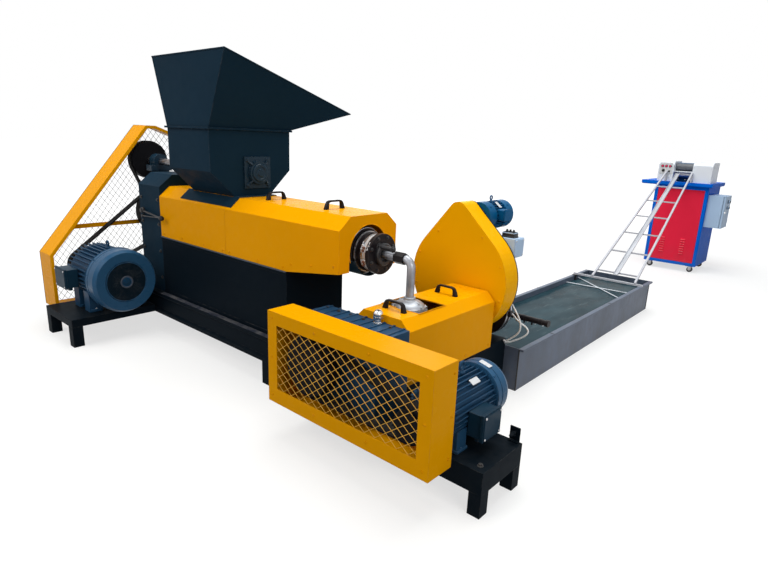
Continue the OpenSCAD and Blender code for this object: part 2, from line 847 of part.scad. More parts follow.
module cover_handles() color(dark) {
    for (x = [cover_seam_x + handle_from_seam, cover_x1 - handle_from_front])
        translate([x, 0, cover_z1]) rotate([0, 0, 90]) bow_handle();
    for (y = [second_y0 + handle2_from_front, second_y1 - handle2_from_rear])
        translate([0, y, second_z1]) rotate([0, 0, 90]) bow_handle();
}

// Barrel end and melt pipe

module main_barrel() color(steel) rod_x(cover_x0, cover_x1, 0, main_z, barrel_r);

module heater_band() color(steel) rod_x(cover_x1, heater_x1, 0, main_z, heater_r);

module melt_fittings() color(dark) {
    rod_x(heater_x1, flange_x1, 0, main_z, end_flange_r);
    translate([coupling_x0, 0, main_z]) rotate([0, 90, 0])
        cylinder(h = coupling_l, r = coupling_r, $fn = 6);
}

module melt_pipe() color(steel) {
    rod_x(flange_x1, coupling_x0, 0, main_z, pipe_r);
    translate([-bend_r, 0, main_z - bend_r]) rotate([90, 0, 0]) rotate_extrude(angle = 90)
        translate([bend_r, 0]) circle(r = pipe_r);
    rod_z(inlet_z1, main_z - bend_r, 0, 0, pipe_r);
}

// Feeder and hopper

module chamber_profile(inset) {
    polygon([[-chamber_w / 2 + inset, chamber_z1], [-chamber_w / 2 + inset, chamber_bend_z + inset / 2],
        [-throat_w / 2 + inset, cover_z1], [throat_w / 2 - inset, cover_z1],
        [chamber_w / 2 - inset, chamber_bend_z + inset / 2], [chamber_w / 2 - inset, chamber_z1]]);
}

module chamber_sides() color(navy) run_x(chamber_x0 + chamber_end_t, chamber_x1 - chamber_end_t)
    for (side = [0, 1]) mirror([side, 0]) polygon([[chamber_w / 2, chamber_z1],
        [chamber_w / 2, chamber_bend_z],
        [throat_w / 2, cover_z1], [throat_w / 2 - plate_t, cover_z1],
        [chamber_w / 2 - plate_t, chamber_bend_z + plate_t / 2], [chamber_w / 2 - plate_t, chamber_z1]]);

module chamber_ends() color(navy) difference() {
    union() {
        run_x(chamber_x0, chamber_x0 + chamber_end_t) chamber_profile(0);
        run_x(chamber_x1 - chamber_end_t, chamber_x1) chamber_profile(0);
    }
    rod_x(chamber_x0 - cut, chamber_x1 + cut, feeder_y, feeder_z, feeder_shaft_r + move_gap);
}

module hopper_flange() color(navy) difference() {
    block([chamber_x0 - chamber_flange_w, -chamber_w / 2 - chamber_flange_w, chamber_z1],
        [chamber_x1 + chamber_flange_w, chamber_w / 2 + chamber_flange_w, hopper_z0]);
    block([chamber_x0 + chamber_end_t, -chamber_w / 2 + plate_t, chamber_z1 - cut],
        [chamber_x1 - chamber_end_t, chamber_w / 2 - plate_t, hopper_z0 + cut]);
}

module hopper_saddle() color(navy) difference() {
    run_x(chamber_x0 - saddle_lap, chamber_x1 + saddle_lap) difference() {
        polygon([[-cover_w / 2 - saddle_t, cover_side_z1], [-cover_top_w / 2, cover_z1 + saddle_t],
            [cover_top_w / 2, cover_z1 + saddle_t], [cover_w / 2 + saddle_t, cover_side_z1]]);
        main_cover_outline(0);
    }
    block([chamber_x0, -cover_top_w / 2 - saddle_t, cover_side_z1],
        [chamber_x1, cover_top_w / 2 + saddle_t, cover_z1 + saddle_t + cut]);
    for (side = [-1, 1]) translate([0, side * cover_w / 2, 0])
        block([chamber_x0 - saddle_lap - cut, -cover_shoulder_h * (1 - saddle_drop_share),
            cover_side_z1 - cut],
            [chamber_x1 + saddle_lap + cut, cover_shoulder_h * (1 - saddle_drop_share), cover_z1]);
}

// Corners of the hopper, as base or mouth, on the side and end given by sign
hopper_half = chamber_l / 2;
function hopper_corner(side, far, up, inset) = let (
    rise = up ? (far ? hopper_lip_h : hopper_high_h) : 0,
    y = far ? chamber_w / 2 + (up ? hopper_reach : 0) - inset : -chamber_w / 2 + (up ? hopper_lean : 0)
        + inset)
    [chamber_mid_x + side * (hopper_half + hopper_flare_share * rise - inset), y, hopper_z0 + rise];
function hopper_quad(corners, inset) = [for (c = corners) hopper_corner(c[0], c[1], c[2], inset)];

module hopper_wall(corners) {
    panel(hopper_quad(corners, 0), hopper_quad(corners, plate_t));
}

module hopper_high_wall() color(navy)
    hopper_wall([[-1, false, false], [1, false, false], [1, false, true], [-1, false, true]]);

module hopper_side_walls() color(navy) for (side = [-1, 1])
    hopper_wall([[side, false, false], [side, true, false], [side, true, true], [side, false, true]]);

module hopper_chute_floor() color(navy)
    hopper_wall([[-1, true, false], [1, true, false], [1, true, true], [-1, true, true]]);

module feeder_bearings() color(slate) difference() {
    union() {
        block([chamber_x1, feeder_y - bearing_plate_w / 2, feeder_z - bearing_plate_w / 2],
            [chamber_x1 + bearing_plate_t, feeder_y + bearing_plate_w / 2, feeder_z + bearing_plate_w / 2]);
        rod_x(chamber_x1, chamber_x1 + bearing_boss_l, feeder_y, feeder_z, bearing_boss_r);
        rod_x(post_x - bearing_boss_l, post_x + bearing_boss_l, feeder_y, feeder_z, pillow_boss_r);
        block([post_x - bearing_boss_l, feeder_y - pillow_w / 2, feeder_z - bearing_boss_r],
            [post_x + bearing_boss_l, feeder_y + pillow_w / 2, feeder_z - bearing_boss_r + pillow_h]);
    }
    rod_x(sheave_x0, chamber_x1 + bearing_boss_l + cut, feeder_y, feeder_z, feeder_shaft_r + run_gap);
}

module feeder_shaft() color(steel) {
    rod_x(sheave_x1, chamber_x1 + bearing_boss_l - shaft_end_in, feeder_y, feeder_z, feeder_shaft_r);
    paddle_pitch = (chamber_l - chamber_end_t * 2 - paddle_w * 2) / (paddle_count - 1);
    translate([chamber_x0 + chamber_end_t + paddle_w, feeder_y, feeder_z]) for (i = [0 : paddle_count - 1])
        translate([i * paddle_pitch, 0, 0]) rotate([i * paddle_step, 0, 0])
            block([-paddle_w / 2, -paddle_t / 2, -paddle_r], [paddle_w / 2, paddle_t / 2, paddle_r]);
}

module feeder_pulley() color(dark) rod_x(sheave_x0, sheave_x1, feeder_y, feeder_z, feeder_pulley_r);

// Motors

module drive_motors() color(slate) {
    translate([motor_x0, motor_y, motor_z]) finned_motor(motor_l - motor_cowl_l, motor_fin_r, motor_fin_h,
        motor_fin_t, motor_fins, motor_foot_w, motor_foot_gap, motor_axis_h, motor_fin_r / 2);
    rod_x(pulley_x1, motor_x0 - motor_foot_gap / 3, motor_y, motor_z, input_shaft_r);
    translate([motor2_x, motor2_y0, motor2_z]) rotate([0, 0, 90])
        finned_motor(motor2_y1 - motor2_y0 - motor2_cowl_l,
        motor2_fin_r, motor2_fin_h, motor2_fin_t, motor2_fins, motor2_foot_w, motor_foot_gap / 2,
            motor2_axis_h,
        motor2_fin_r / 2);
    rod_y(pulley2_y1, motor2_y0 - motor_foot_gap / 6, motor2_x, motor2_z, motor2_shaft_r);
}

module motor_cowls() color(slate) {
    translate([motor_x1 - motor_cowl_l, motor_y, motor_z])
        fan_cowl(motor_cowl_l, motor_cowl_r, motor_cowl_r * 0.2);
    translate([motor2_x, motor2_y1 - motor2_cowl_l, motor2_z]) rotate([0, 0, 90])
        fan_cowl(motor2_cowl_l, motor2_cowl_r, motor2_cowl_r * 0.2);
}

terminal_w = 170;
terminal_d = 90;
terminal_h = 130;
terminal2_w = 130;
terminal2_d = 80;
terminal2_h = 110;
terminal_lid = 14;

// Terminal box on a motor's side, standing out along -Y
module terminal_box(w, d, h) {
    block([-w / 2, -d + terminal_lid, -h / 2], [w / 2, 0, h / 2]);
    block([-w / 2 - terminal_lid / 2, -d, -h / 2 - terminal_lid / 2],
        [w / 2 + terminal_lid / 2, -d + terminal_lid, h / 2 + terminal_lid / 2]);
}

module terminal_boxes() color(slate) {
    translate([motor_x0 + motor_l * 0.25, motor_y - motor_fin_r, motor_z])
        terminal_box(terminal_w, terminal_d, terminal_h);
    translate([motor2_x + motor2_fin_r, (motor2_y0 + motor2_y1 - motor2_cowl_l)
        / 2, motor2_z - terminal2_h * 0.3])
        rotate([0, 0, 90]) terminal_box(terminal2_w, terminal2_d, terminal2_h);
}

// Main belt drive

guard_points = [[guard_y0, guard_z0], [guard_y0, guard_low_z], [guard_peak_y0, guard_top_z],
    [guard_peak_y1, guard_top_z],
    [guard_far_y, guard_far_z1], [guard_far_y, guard_far_z0], [guard_low_y1, guard_z0]];

module guard_outline() {
    polygon(guard_points);
}

module main_belt_guard() color(yellow) {
    run_x(guard_x0, guard_x1) difference() {
        guard_outline();
        offset(delta = -sheet_t) guard_outline();
    }
    run_x(guard_x1 - sheet_t, guard_x1) difference() {
        offset(delta = -sheet_t) guard_outline();
        offset(delta = -guard_lip) guard_outline();
    }
    run_x(guard_x0, guard_x0 + sheet_t) intersection() {
        guard_outline();
        translate([guard_y0, guard_bar_z]) square([guard_far_y - guard_y0, guard_bar_h]);
    }
}

module main_guard_mesh() color(yellow) run_x(guard_x0 - mesh_t, guard_x0)
    mesh_pattern(guard_points, [guard_y0, guard_z0], [guard_far_y, guard_top_z], mesh_pitch);

module drive_pulleys() color(dark) {
    rod_x(pulley_x0, pulley_x1, motor_y, motor_z, motor_pulley_r);
    rod_x(pulley_x0, pulley_x1, pulley_y, pulley_z, pulley_r);
    rod_x(pulley_x1, sheave_x1, pulley_y, pulley_z, sheave_r);
    rod_y(pulley2_y0, pulley2_y1, motor2_x, motor2_z, motor2_pulley_r);
    rod_y(pulley2_y0, pulley2_y1, pulley2_x, pulley2_z, pulley2_r);
}

module drive_belts() color(dark) {
    belt_in = pulley_w * (1 - belt_w_share) / 2;
    sheave_in = sheave_w * (1 - belt_w_share) / 2;
    belt2_in = pulley2_w * (1 - belt_w_share) / 2;
    run_x(pulley_x0 + belt_in, pulley_x1 - belt_in)
        belt_loop([motor_y, motor_z], motor_pulley_r, [pulley_y, pulley_z], pulley_r, belt_t);
    run_x(sheave_x0 + sheave_in, sheave_x1 - sheave_in)
        belt_loop([feeder_y, feeder_z], feeder_pulley_r, [pulley_y, pulley_z], sheave_r, belt_t);
    run_y(pulley2_y0 + belt2_in, pulley2_y1 - belt2_in)
        belt_loop([motor2_x, motor2_z], motor2_pulley_r, [pulley2_x, pulley2_z], pulley2_r, belt_t);
}

// Second extruder

module second_frame() color(navy) {
    block([-frame_w / 2, gearbox2_y1, second_cover_z0 - frame_h], [frame_w / 2, tank_y0, second_cover_z0]);
    block([gearbox2_x0, gearbox2_y0, stand_z1 - stand_t], [gearbox2_x1, gearbox2_y1, stand_z1]);
    block([gearbox2_x1, stand_y0, stand_z1 - stand_t], [stand_x1, stand_y1, stand_z1]);
}

module second_gearbox() color(slate) {
    block([gearbox2_x0, gearbox2_y0, stand_z1], [gearbox2_x1, gearbox2_y1, gearbox2_z1]);
    block([gearbox2_x0 - gearbox2_split_out, gearbox2_y0, gearbox2_split_z],
        [gearbox2_x1 + gearbox2_split_out, gearbox2_y1, gearbox2_split_z + gearbox2_split_h]);
    rib_pitch = gearbox2_l / gearbox2_ribs;
    for (i = [0 : gearbox2_ribs - 1]) translate([gearbox2_x0 + (i + 0.5) * rib_pitch, 0, 0])
        block([-gearbox2_rib_t / 2, gearbox2_y0, gearbox2_z1],
            [gearbox2_rib_t / 2, gearbox2_y1, gearbox2_z1 + gearbox2_rib_h]);
    rod_z(gearbox2_z1, gearbox2_z1 + gearbox2_rib_h + oil_cap_h, gearbox2_x1 - oil_cap_side,
        gearbox2_y1 - oil_cap_in, oil_cap_r);
    rod_y(pulley2_y1, gearbox2_y0, pulley2_x, pulley2_z, shaft_r);
}

module second_belt_guard() color(yellow) difference() {
    block([guard2_x0, guard2_y0, guard2_z0], [guard2_x1, guard2_y1, guard2_z1]);
    block([guard2_x0 + sheet_t, guard2_y0 + sheet_t, guard2_z0 + sheet_t],
        [guard2_x1 - sheet_t, guard2_y1 - sheet_t, guard2_z1 - sheet_t]);
    block([guard2_x0 + guard2_lip, guard2_y1 - sheet_t - cut, guard2_z0 + guard2_lip],
        [guard2_x1 - guard2_lip, guard2_y1 + cut, guard2_z1 - guard2_lip]);
    block([guard2_x0 + window_side, guard2_y0 - cut, guard2_z0 + window_bottom],
        [guard2_x1 - window_side, guard2_y0 + sheet_t + cut, guard2_z1 - window_top]);
}

mesh2_low = [guard2_x0 + window_side / 2, guard2_z0 + window_bottom / 2];
mesh2_high = [guard2_x1 - window_side / 2, guard2_z1 - window_top / 2];

module second_guard_mesh() color(yellow) run_y(guard2_y0 + sheet_t, guard2_y0 + sheet_t + mesh_t)
    mesh_pattern([[mesh2_low[0], mesh2_low[1]],
        [mesh2_low[0], mesh2_high[1]], mesh2_high, [mesh2_high[0], mesh2_low[1]]],
        mesh2_low, mesh2_high, mesh2_pitch);

module second_cover_outline(inset) {
    cover_outline(second_cover_w, second_top_w, second_cover_z0 - (inset > 0 ? cut : 0), second_side_z1,
        second_z1, inset);
}

module second_cover() color(yellow) difference() {
    run_y(second_y0, second_y1) second_cover_outline(0);
    run_y(second_y0 + sheet_t, second_y1 - sheet_t) second_cover_outline(sheet_t);
    rod_y(second_y0 - cut, second_y1 + cut, 0, second_axis_z, second_barrel_r + run_gap);
    block([-inlet_open_w / 2, inlet_open_y0, second_z1 - sheet_t * 2],
        [inlet_open_w / 2, inlet_open_y1, second_z1 + cut]);
}

module second_barrel() color(steel) {
    rod_y(second_y0, filter_plate_y1, 0, second_axis_z, second_barrel_r);
    rod_z(second_axis_z, inlet_z1 - inlet_flange_t, 0, 0, inlet_r);
    rod_z(inlet_z1 - inlet_flange_t, inlet_z1, 0, 0, inlet_flange_r);
}

// Filter drive and die

module filter_outline(inset) {
    hull() {
        translate([filter_x, filter_z]) circle(r = filter_big_r - inset, $fn = round_steps * 2);
        translate([filter_top_x, filter_top_z]) circle(r = filter_small_r - inset, $fn = round_steps);
    }
}

module filter_guard() color(yellow) difference() {
    run_y(filter_y0, filter_y1) filter_outline(0);
    run_y(filter_y0 + sheet_t, filter_y1 + cut) filter_outline(sheet_t);
    rod_y(filter_y0 - cut, filter_y1, 0, second_axis_z, second_barrel_r + move_gap);
}

module filter_plate() color(navy) difference() {
    run_y(filter_y1, filter_plate_y1) filter_outline(0);
    rod_y(filter_y1 - cut, filter_plate_y1 + cut, 0, second_axis_z, second_barrel_r + run_gap);
}

module filter_motor() color(teal) translate([filter_motor_x, filter_plate_y1, filter_motor_z])
    rotate([0, 0, 90]) {
    rotate([0, 90, 0]) cylinder(h = filter_motor_l, r = filter_motor_r * 0.85);
    for (x = [0, filter_motor_l * 0.72]) translate([x, 0, 0]) rotate([0, 90, 0])
        cylinder(h = filter_motor_l * 0.28, r = filter_motor_r);
}

module filter_control_box() color(pale) {
    block([filter_box_x0, filter_plate_y1, filter_box_z0],
        [filter_box_x0 + filter_box_w, filter_plate_y1 + filter_box_d, filter_box_z0 + filter_box_h]);
    translate([filter_box_x0 + filter_box_w / 2, filter_plate_y1 + filter_box_d / 2,
        filter_box_z0 + filter_box_h])
        block([-filter_knob_w / 2, -filter_knob_d / 2, 0],
            [filter_knob_w / 2, filter_knob_d / 2, filter_knob_h]);
}

module die_head() color(dark) {
    rod_y(filter_plate_y1, die_y1, 0, second_axis_z, die_drum_r);
    block([0, filter_plate_y1 + die_boss_y - die_boss_w / 2,
        second_axis_z - die_boss_drop - die_boss_w / 2],
        [die_boss_x, filter_plate_y1 + die_boss_y + die_boss_w / 2,
            second_axis_z - die_boss_drop + die_boss_w / 2]);
}

module strand_die() color(dark) {
    rod_x(-strand_die_l / 2, strand_die_l / 2, strand_y, strand_z, strand_die_r);
    block([-die_neck_w / 2, die_y1, strand_z - strand_die_r / 2],
        [die_neck_w / 2, strand_y, strand_z + die_neck_w / 2]);
    for (x = [-strand_die_l / 2, strand_die_l / 2 - die_cap_t])
        rod_x(x, x + die_cap_t, strand_y, strand_z, die_cap_r);
    for (i = [0 : nozzle_count - 1]) rod_z(strand_z - strand_die_r - nozzle_l, strand_z,
        (i / (nozzle_count - 1) - 0.5) * strand_die_l * nozzle_span_share, strand_y, nozzle_r);
}

module heater_lead_long() color(white) translate([0, filter_plate_y1, second_axis_z])
    lead(lead_long, [1, 1, 1]);

module heater_lead_short() color(white) translate([0, filter_plate_y1, second_axis_z])
    lead(lead_short, [0, 1, 0]);

// Water tank

module tank_floor() color(steel) block([tank_x0, tank_y0, 0], [tank_x1, tank_y1, tank_t]);

module tank_sides() color(steel) for (side = [-1, 1]) translate([tank_x, 0, 0])
    mirror([side < 0 ? 1 : 0, 0, 0])
    run_y(tank_y0, tank_y1) polygon([[tank_w / 2 - tank_t, tank_t], [tank_w / 2, tank_t],
        [tank_w / 2, tank_h - tank_lip],
        [tank_w / 2 + tank_rim_w - tank_t, tank_h - tank_lip], [tank_w / 2 + tank_rim_w, tank_h - tank_lip],
        [tank_w / 2 + tank_rim_w, tank_h], [tank_w / 2 - tank_t, tank_h]]);

module tank_ends() color(steel) for (y = [tank_y0, tank_y1 - tank_t])
    block([tank_x0 + tank_t, y, tank_t], [tank_x1 - tank_t, y + tank_t, tank_h]);

// Strand ladder from the tank up to the pelletizer

// Places its children at one point, with their X axis towards another
module aimed(p, q) {
    run = q - p;
    translate(p) rotate([0, -atan2(run[2], norm([run[0], run[1]])), atan2(run[1], run[0])]) children();
}

module bar(p, q, w) {
    aimed(p, q) block([0, -w / 2, 0], [norm(q - p), w / 2, w]);
}

// Point on a rail, or on the middle line for side zero
function ladder_w(share) = ladder_low_w + (ladder_top_w - ladder_low_w) * share;
function ladder_at(share, side) = ladder_low + ladder_run * share + [side * ladder_w(share) / 2, 0, 0];

module strand_ladder() color(white) {
    for (side = [-1, 1]) bar(ladder_at(0, side), ladder_at(1, side), ladder_rail);
    for (i = [0 : ladder_rungs - 1])
        let (share = ladder_first_share + i * (ladder_last_share - ladder_first_share) / (ladder_rungs - 1))
            bar(ladder_at(share, -1), ladder_at(share, 1), ladder_rung);
    block([tank_x0 - tank_rim_w, ladder_low[1] - ladder_rail / 2, tank_h],
        [tank_x1 + tank_rim_w, ladder_low[1] + ladder_rail / 2, tank_h + ladder_rail]);
    for (side = [-1, 1]) translate([ladder_at(1, side)[0], ladder_top[1], 0])
        block([-ladder_rail / 2, -ladder_rail / 2, table_z1],
            [ladder_rail / 2, ladder_rail / 2, ladder_top[2] + ladder_rail / 2]);
}

module strand_guide() color(steel) aimed(ladder_at(guide_low_share, 0), ladder_at(guide_top_share, 0))
    translate([0, 0, guide_lift]) rotate([90, 0, 90])
        linear_extrude(ladder_l * (guide_top_share - guide_low_share))
        polygon([[-guide_w / 2, 0], [guide_w / 2, 0], [guide_w / 2, guide_h],
            [guide_w / 2 - guide_t, guide_h],
            [guide_w / 2 - guide_t, guide_t], [-guide_w / 2 + guide_t, guide_t],
            [-guide_w / 2 + guide_t, guide_h], [-guide_w / 2, guide_h]]);

// Pelletizer

module pelletizer_frame() color(blue) {
    difference() {
        block([pellet_x0, pellet_y0, caster_h], [pellet_x1, pellet_y1, pellet_z1]);
        for (y = [pellet_y0 - cut, pellet_y1 - panel_recess])
            block([pellet_x0 + panel_edge, y, caster_h + panel_edge],
                [pellet_x1 - panel_edge, y + panel_recess + cut, pellet_z1 - panel_edge]);
        block([pellet_x0 - cut, pellet_y0 + panel_edge, caster_h + panel_edge],
            [pellet_x0 + panel_recess, pellet_y1 - panel_edge, pellet_z1 - panel_edge]);
    }
}

module casters() color(dark) {
    for (x = [pellet_x0 + caster_inset, pellet_x1 - caster_inset])
        for (y = [pellet_y0 + caster_inset, pellet_y1 - caster_inset]) translate([x, y, 0]) caster();
}

module caster() {
    block([-caster_plate / 2, -caster_plate / 2, caster_h - caster_plate_t],
        [caster_plate / 2, caster_plate / 2, caster_h]);
    for (side = [-1, 1]) translate([0, side * (caster_w / 2 + caster_cheek_t), 0])
        block([-caster_r / 2, -caster_cheek_t / 2, caster_r], [caster_r / 2, caster_cheek_t / 2, caster_h]);
    rod_y(-caster_w / 2 - caster_cheek_t, caster_w / 2 + caster_cheek_t, 0, caster_r, caster_axle_r);
    rod_y(-caster_w / 2, caster_w / 2, 0, caster_r, caster_r);
}

module louvre(w) {
    rotate([90, 0, 90]) linear_extrude(w) polygon([[0, 0], [-louvre_out, louvre_h * 0.2], [0, louvre_h]]);
}

module pelletizer_panels() color(red) {
    for (back = [0, 1]) translate([(pellet_x0 + pellet_x1) / 2, (pellet_y0 + pellet_y1) / 2, 0])
        rotate([0, 0, back * 180])
        translate([0, -pellet_d / 2 + panel_recess, 0]) {
            block([-pellet_w / 2 + panel_edge + panel_fit, -panel_t, caster_h + panel_edge + panel_fit],
                [pellet_w / 2 - panel_edge - panel_fit, 0, pellet_z1 - panel_edge - panel_fit]);
            for (side = [-1, 1]) for (i = [0 : louvre_rows - 1])
                translate([side * louvre_side - louvre_w / 2, -panel_t,
                    caster_h + louvre_rise + i * louvre_pitch])
                    louvre(louvre_w);
        }
    block([pellet_x0 + panel_recess - panel_t, pellet_y0 + panel_edge + panel_fit,
        caster_h + panel_edge + panel_fit],
        [pellet_x0 + panel_recess, pellet_y1 - panel_edge - panel_fit, pellet_z1 - panel_edge - panel_fit]);
}

module pelletizer_table() color(blue) {
    block([table_x0, table_y0, pellet_z1 + table_edge], [table_x1, table_y1, table_z1]);
    block([table_x0 + table_edge, table_y0 + table_edge, pellet_z1],
        [table_x1 - table_edge, table_y1 - table_edge, pellet_z1 + table_edge]);
}

module roller_housings() color(white) difference() {
    for (span = [[housing_left_x0, housing_left_x1],
        [housing_right_x0, housing_right_x1]]) run_x(span[0], span[1])
        polygon([[housing_y0, table_z1], [housing_y0, table_z1 + housing_h - housing_chamfer],
            [housing_y0 + housing_chamfer, table_z1 + housing_h],
                [housing_y0 + housing_d, table_z1 + housing_h],
            [housing_y0 + housing_d, table_z1]]);
    for (z = [roller_low_z, roller_up_z])
        rod_x(housing_left_x1 - roller_pin_l - move_gap, housing_right_x0 + roller_pin_l + move_gap,
            roller_y, z,
            roller_pin_r + run_gap);
}

module feed_roller(z) {
    rod_x(housing_left_x1 - roller_pin_l, housing_right_x0 + roller_pin_l, roller_y, z, roller_pin_r);
    rod_x(housing_left_x1 + roller_end_gap, housing_right_x0 - roller_end_gap, roller_y, z, roller_r);
}

module upper_roller() color(dark) feed_roller(roller_up_z);

module lower_roller() color(steel) feed_roller(roller_low_z);

module feed_plate() color(white)
    translate([0, housing_y0, roller_low_z + roller_r - feed_plate_t - feed_plate_drop])
    block([housing_left_x1, 0, 0],
        [housing_right_x0, roller_y - housing_y0 - roller_r - move_gap + feed_plate_t, feed_plate_t]);

module control_box() color(pale) {
    difference() {
        block([control_x0, control_y0, control_z0], [control_x1, control_y1, control_z1]);
        block([control_x0 + control_wall, control_y0 + control_wall, control_z0 + control_wall],
            [control_x1 + cut, control_y1 - control_wall, control_z1 - control_wall]);
    }
    for (z = [control_z0 + hinge_end, control_z1 - hinge_end]) {
        for (side = [-1, 1]) translate([0, 0, z + side * (hinge_l / 2 + hinge_gap + hinge_lug_h / 2)])
            block([control_x1 - hinge_r * 3, control_y1, -hinge_lug_h / 2],
                [hinge_x + hinge_pin_r, hinge_y + hinge_pin_r, hinge_lug_h / 2]);
        rod_z(z - hinge_l / 2 - hinge_gap - hinge_lug_h / 2,
            z + hinge_l / 2 + hinge_gap + hinge_lug_h / 2, hinge_x, hinge_y, hinge_pin_r);
    }
}

module control_box_door() color(pale) {
    difference() {
        block([door_x0, control_y0, control_z0], [door_x1, control_y1 - hinge_edge, control_z1]);
        block([door_x0 - cut, control_y0 + door_skin, control_z0 + door_skin],
            [door_x1 - door_skin, control_y1 - hinge_edge - door_skin, control_z1 - door_skin]);
    }
    for (z = [control_z0 + hinge_end, control_z1 - hinge_end]) difference() {
        union() {
            rod_z(z - hinge_l / 2, z + hinge_l / 2, hinge_x, hinge_y, hinge_r);
            block([hinge_x, control_y1 - hinge_edge - door_skin, z - hinge_l / 2],
                [door_x1, hinge_y, z + hinge_l / 2]);
        }
        rod_z(z - hinge_l, z + hinge_l, hinge_x, hinge_y, hinge_pin_r + run_gap);
    }
    for (i = [0, 1]) rod_x(door_x1, door_x1 + knob_h, (control_y0 + control_y1)
        / 2, control_z1 - knob_drop * (i + 1), knob_r);
}

module place() {
    translate(plant_shift) children();
}

place() base_plinth();
place() machine_feet();
place() base_cabinet();
place() motor_platform();
place() main_gearbox();
place() feeder_post();
place() main_cover_rear();
place() main_cover_front();
place() cover_handles();
place() main_barrel();
place() heater_band();
place() melt_fittings();
place() melt_pipe();
place() hopper_saddle();
place() chamber_sides();
place() chamber_ends();
place() hopper_flange();
place() hopper_high_wall();
place() hopper_side_walls();
place() hopper_chute_floor();
place() feeder_bearings();
place() feeder_shaft();
place() feeder_pulley();
place() drive_motors();
place() motor_cowls();
place() terminal_boxes();
place() main_belt_guard();
place() main_guard_mesh();
place() drive_pulleys();
place() drive_belts();
place() second_frame();
place() second_gearbox();
place() second_belt_guard();
place() second_guard_mesh();
place() second_cover();
place() second_barrel();
place() filter_guard();
place() filter_plate();
place() filter_motor();
place() filter_control_box();
place() die_head();
place() strand_die();
place() heater_lead_long();
place() heater_lead_short();
place() tank_floor();
place() tank_sides();
place() tank_ends();
place() strand_ladder();
place() strand_guide();
place() pelletizer_frame();
place() pelletizer_panels();
place() pelletizer_table();
place() roller_housings();
place() upper_roller();
place() lower_roller();
place() feed_plate();
place() control_box();
place() control_box_door();
place() casters();
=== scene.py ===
import bpy
import json
import math
from itertools import product
from mathutils import Matrix, Vector


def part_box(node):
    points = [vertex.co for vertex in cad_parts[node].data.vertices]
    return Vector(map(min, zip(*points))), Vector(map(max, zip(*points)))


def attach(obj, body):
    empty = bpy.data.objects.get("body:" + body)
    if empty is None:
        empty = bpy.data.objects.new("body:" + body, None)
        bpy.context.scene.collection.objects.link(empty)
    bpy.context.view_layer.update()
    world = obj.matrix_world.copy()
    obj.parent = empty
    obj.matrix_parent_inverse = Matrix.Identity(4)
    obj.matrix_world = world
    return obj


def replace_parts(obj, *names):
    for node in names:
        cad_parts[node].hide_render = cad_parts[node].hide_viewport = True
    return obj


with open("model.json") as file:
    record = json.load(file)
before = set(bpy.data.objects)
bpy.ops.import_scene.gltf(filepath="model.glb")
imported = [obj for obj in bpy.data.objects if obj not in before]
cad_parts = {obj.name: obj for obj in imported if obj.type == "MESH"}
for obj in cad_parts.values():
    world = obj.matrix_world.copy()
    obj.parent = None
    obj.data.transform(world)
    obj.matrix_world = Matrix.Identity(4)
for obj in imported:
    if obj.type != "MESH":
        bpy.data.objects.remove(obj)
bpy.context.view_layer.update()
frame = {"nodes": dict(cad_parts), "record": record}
nodes = frame["nodes"]

MM = 0.001
X, Y, Z = Vector((1, 0, 0)), Vector((0, 1, 0)), Vector((0, 0, 1))
SIGNS = (-1, 1)
CORNERS = list(product(SIGNS, SIGNS))


def box_of(node):
    low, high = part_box(node)
    return Vector(low), Vector(high)


def middle(node):
    low, high = box_of(node)
    return (low + high) / 2


# The two screw axes cross over this point of the floor, and P counts millimetres from it
origin = Vector((middle("second_barrel").x, middle("main_barrel").y, 0))


def P(x, y, z):
    return origin + Vector((x, y, z)) * MM


def V(x, y, z):
    """A step in millimetres."""
    return Vector((x, y, z)) * MM


def scaled(pairs, k):
    return [(a * k, b * k) for a, b in pairs]


def mm(*pairs):
    """Radius and height pairs of a turned profile, given in millimetres."""
    return scaled(pairs, MM)


def spaced(a, b, count):
    """Evenly spaced values from a to b."""
    return [a + (b - a) * k / (count - 1) for k in range(count)]


def rectangle(x0, x1, y0, y1):
    return [(x0, y0), (x1, y0), (x1, y1), (x0, y1)]


# Camera
YAW, PITCH, ROLL = (math.radians(a) for a in (40.929, 15.205, -2.251))
EYE = P(1703.76, -2171.75, 1499.02)
LENS = 25.881
SENSOR = 36.0
CLIP_NEAR = 0.05
CLIP_FAR = 200
level = math.cos(PITCH)
ahead = Vector((-math.sin(YAW) * level, math.cos(YAW) * level, -math.sin(PITCH)))
flat = Vector((math.cos(YAW), math.sin(YAW), 0))
below = ahead.cross(flat)
right = flat * math.cos(ROLL) + below * math.sin(ROLL)
down = below * math.cos(ROLL) - flat * math.sin(ROLL)
cam = bpy.data.objects.new("camera", bpy.data.cameras.new("camera"))
bpy.context.scene.collection.objects.link(cam)
cam.data.lens = LENS
cam.data.sensor_width = SENSOR
cam.data.clip_start = CLIP_NEAR
cam.data.clip_end = CLIP_FAR
turn = Matrix((right, -down, -ahead)).transposed()
cam.matrix_world = Matrix.Translation(EYE) @ turn.to_4x4()
bpy.context.scene.camera = cam


# Material nodes

def tree(name):
    m = bpy.data.materials.new(name)
    m.use_nodes = True
    m.node_tree.nodes.clear()
    return m, m.node_tree


def add(t, kind, **values):
    n = t.nodes.new(kind)
    for key, value in values.items():
        if key in ("operation", "blend_type", "data_type", "samples"):
            setattr(n, key, value)
        else:
            n.inputs[key.replace("_", " ")].default_value = value
    return n


def noise(t, at, scale, detail=4, rough=0.55):
    n = add(t, "ShaderNodeTexNoise", Scale=scale, Detail=detail, Roughness=rough)
    t.links.new(at, n.inputs["Vector"])
    return n.outputs["Fac"]


def ramp(t, value, a, b, c=0.0, d=1.0):
    n = add(t, "ShaderNodeMapRange", From_Min=a, From_Max=b, To_Min=c, To_Max=d)
    t.links.new(value, n.inputs["Value"])
    return n.outputs["Result"]


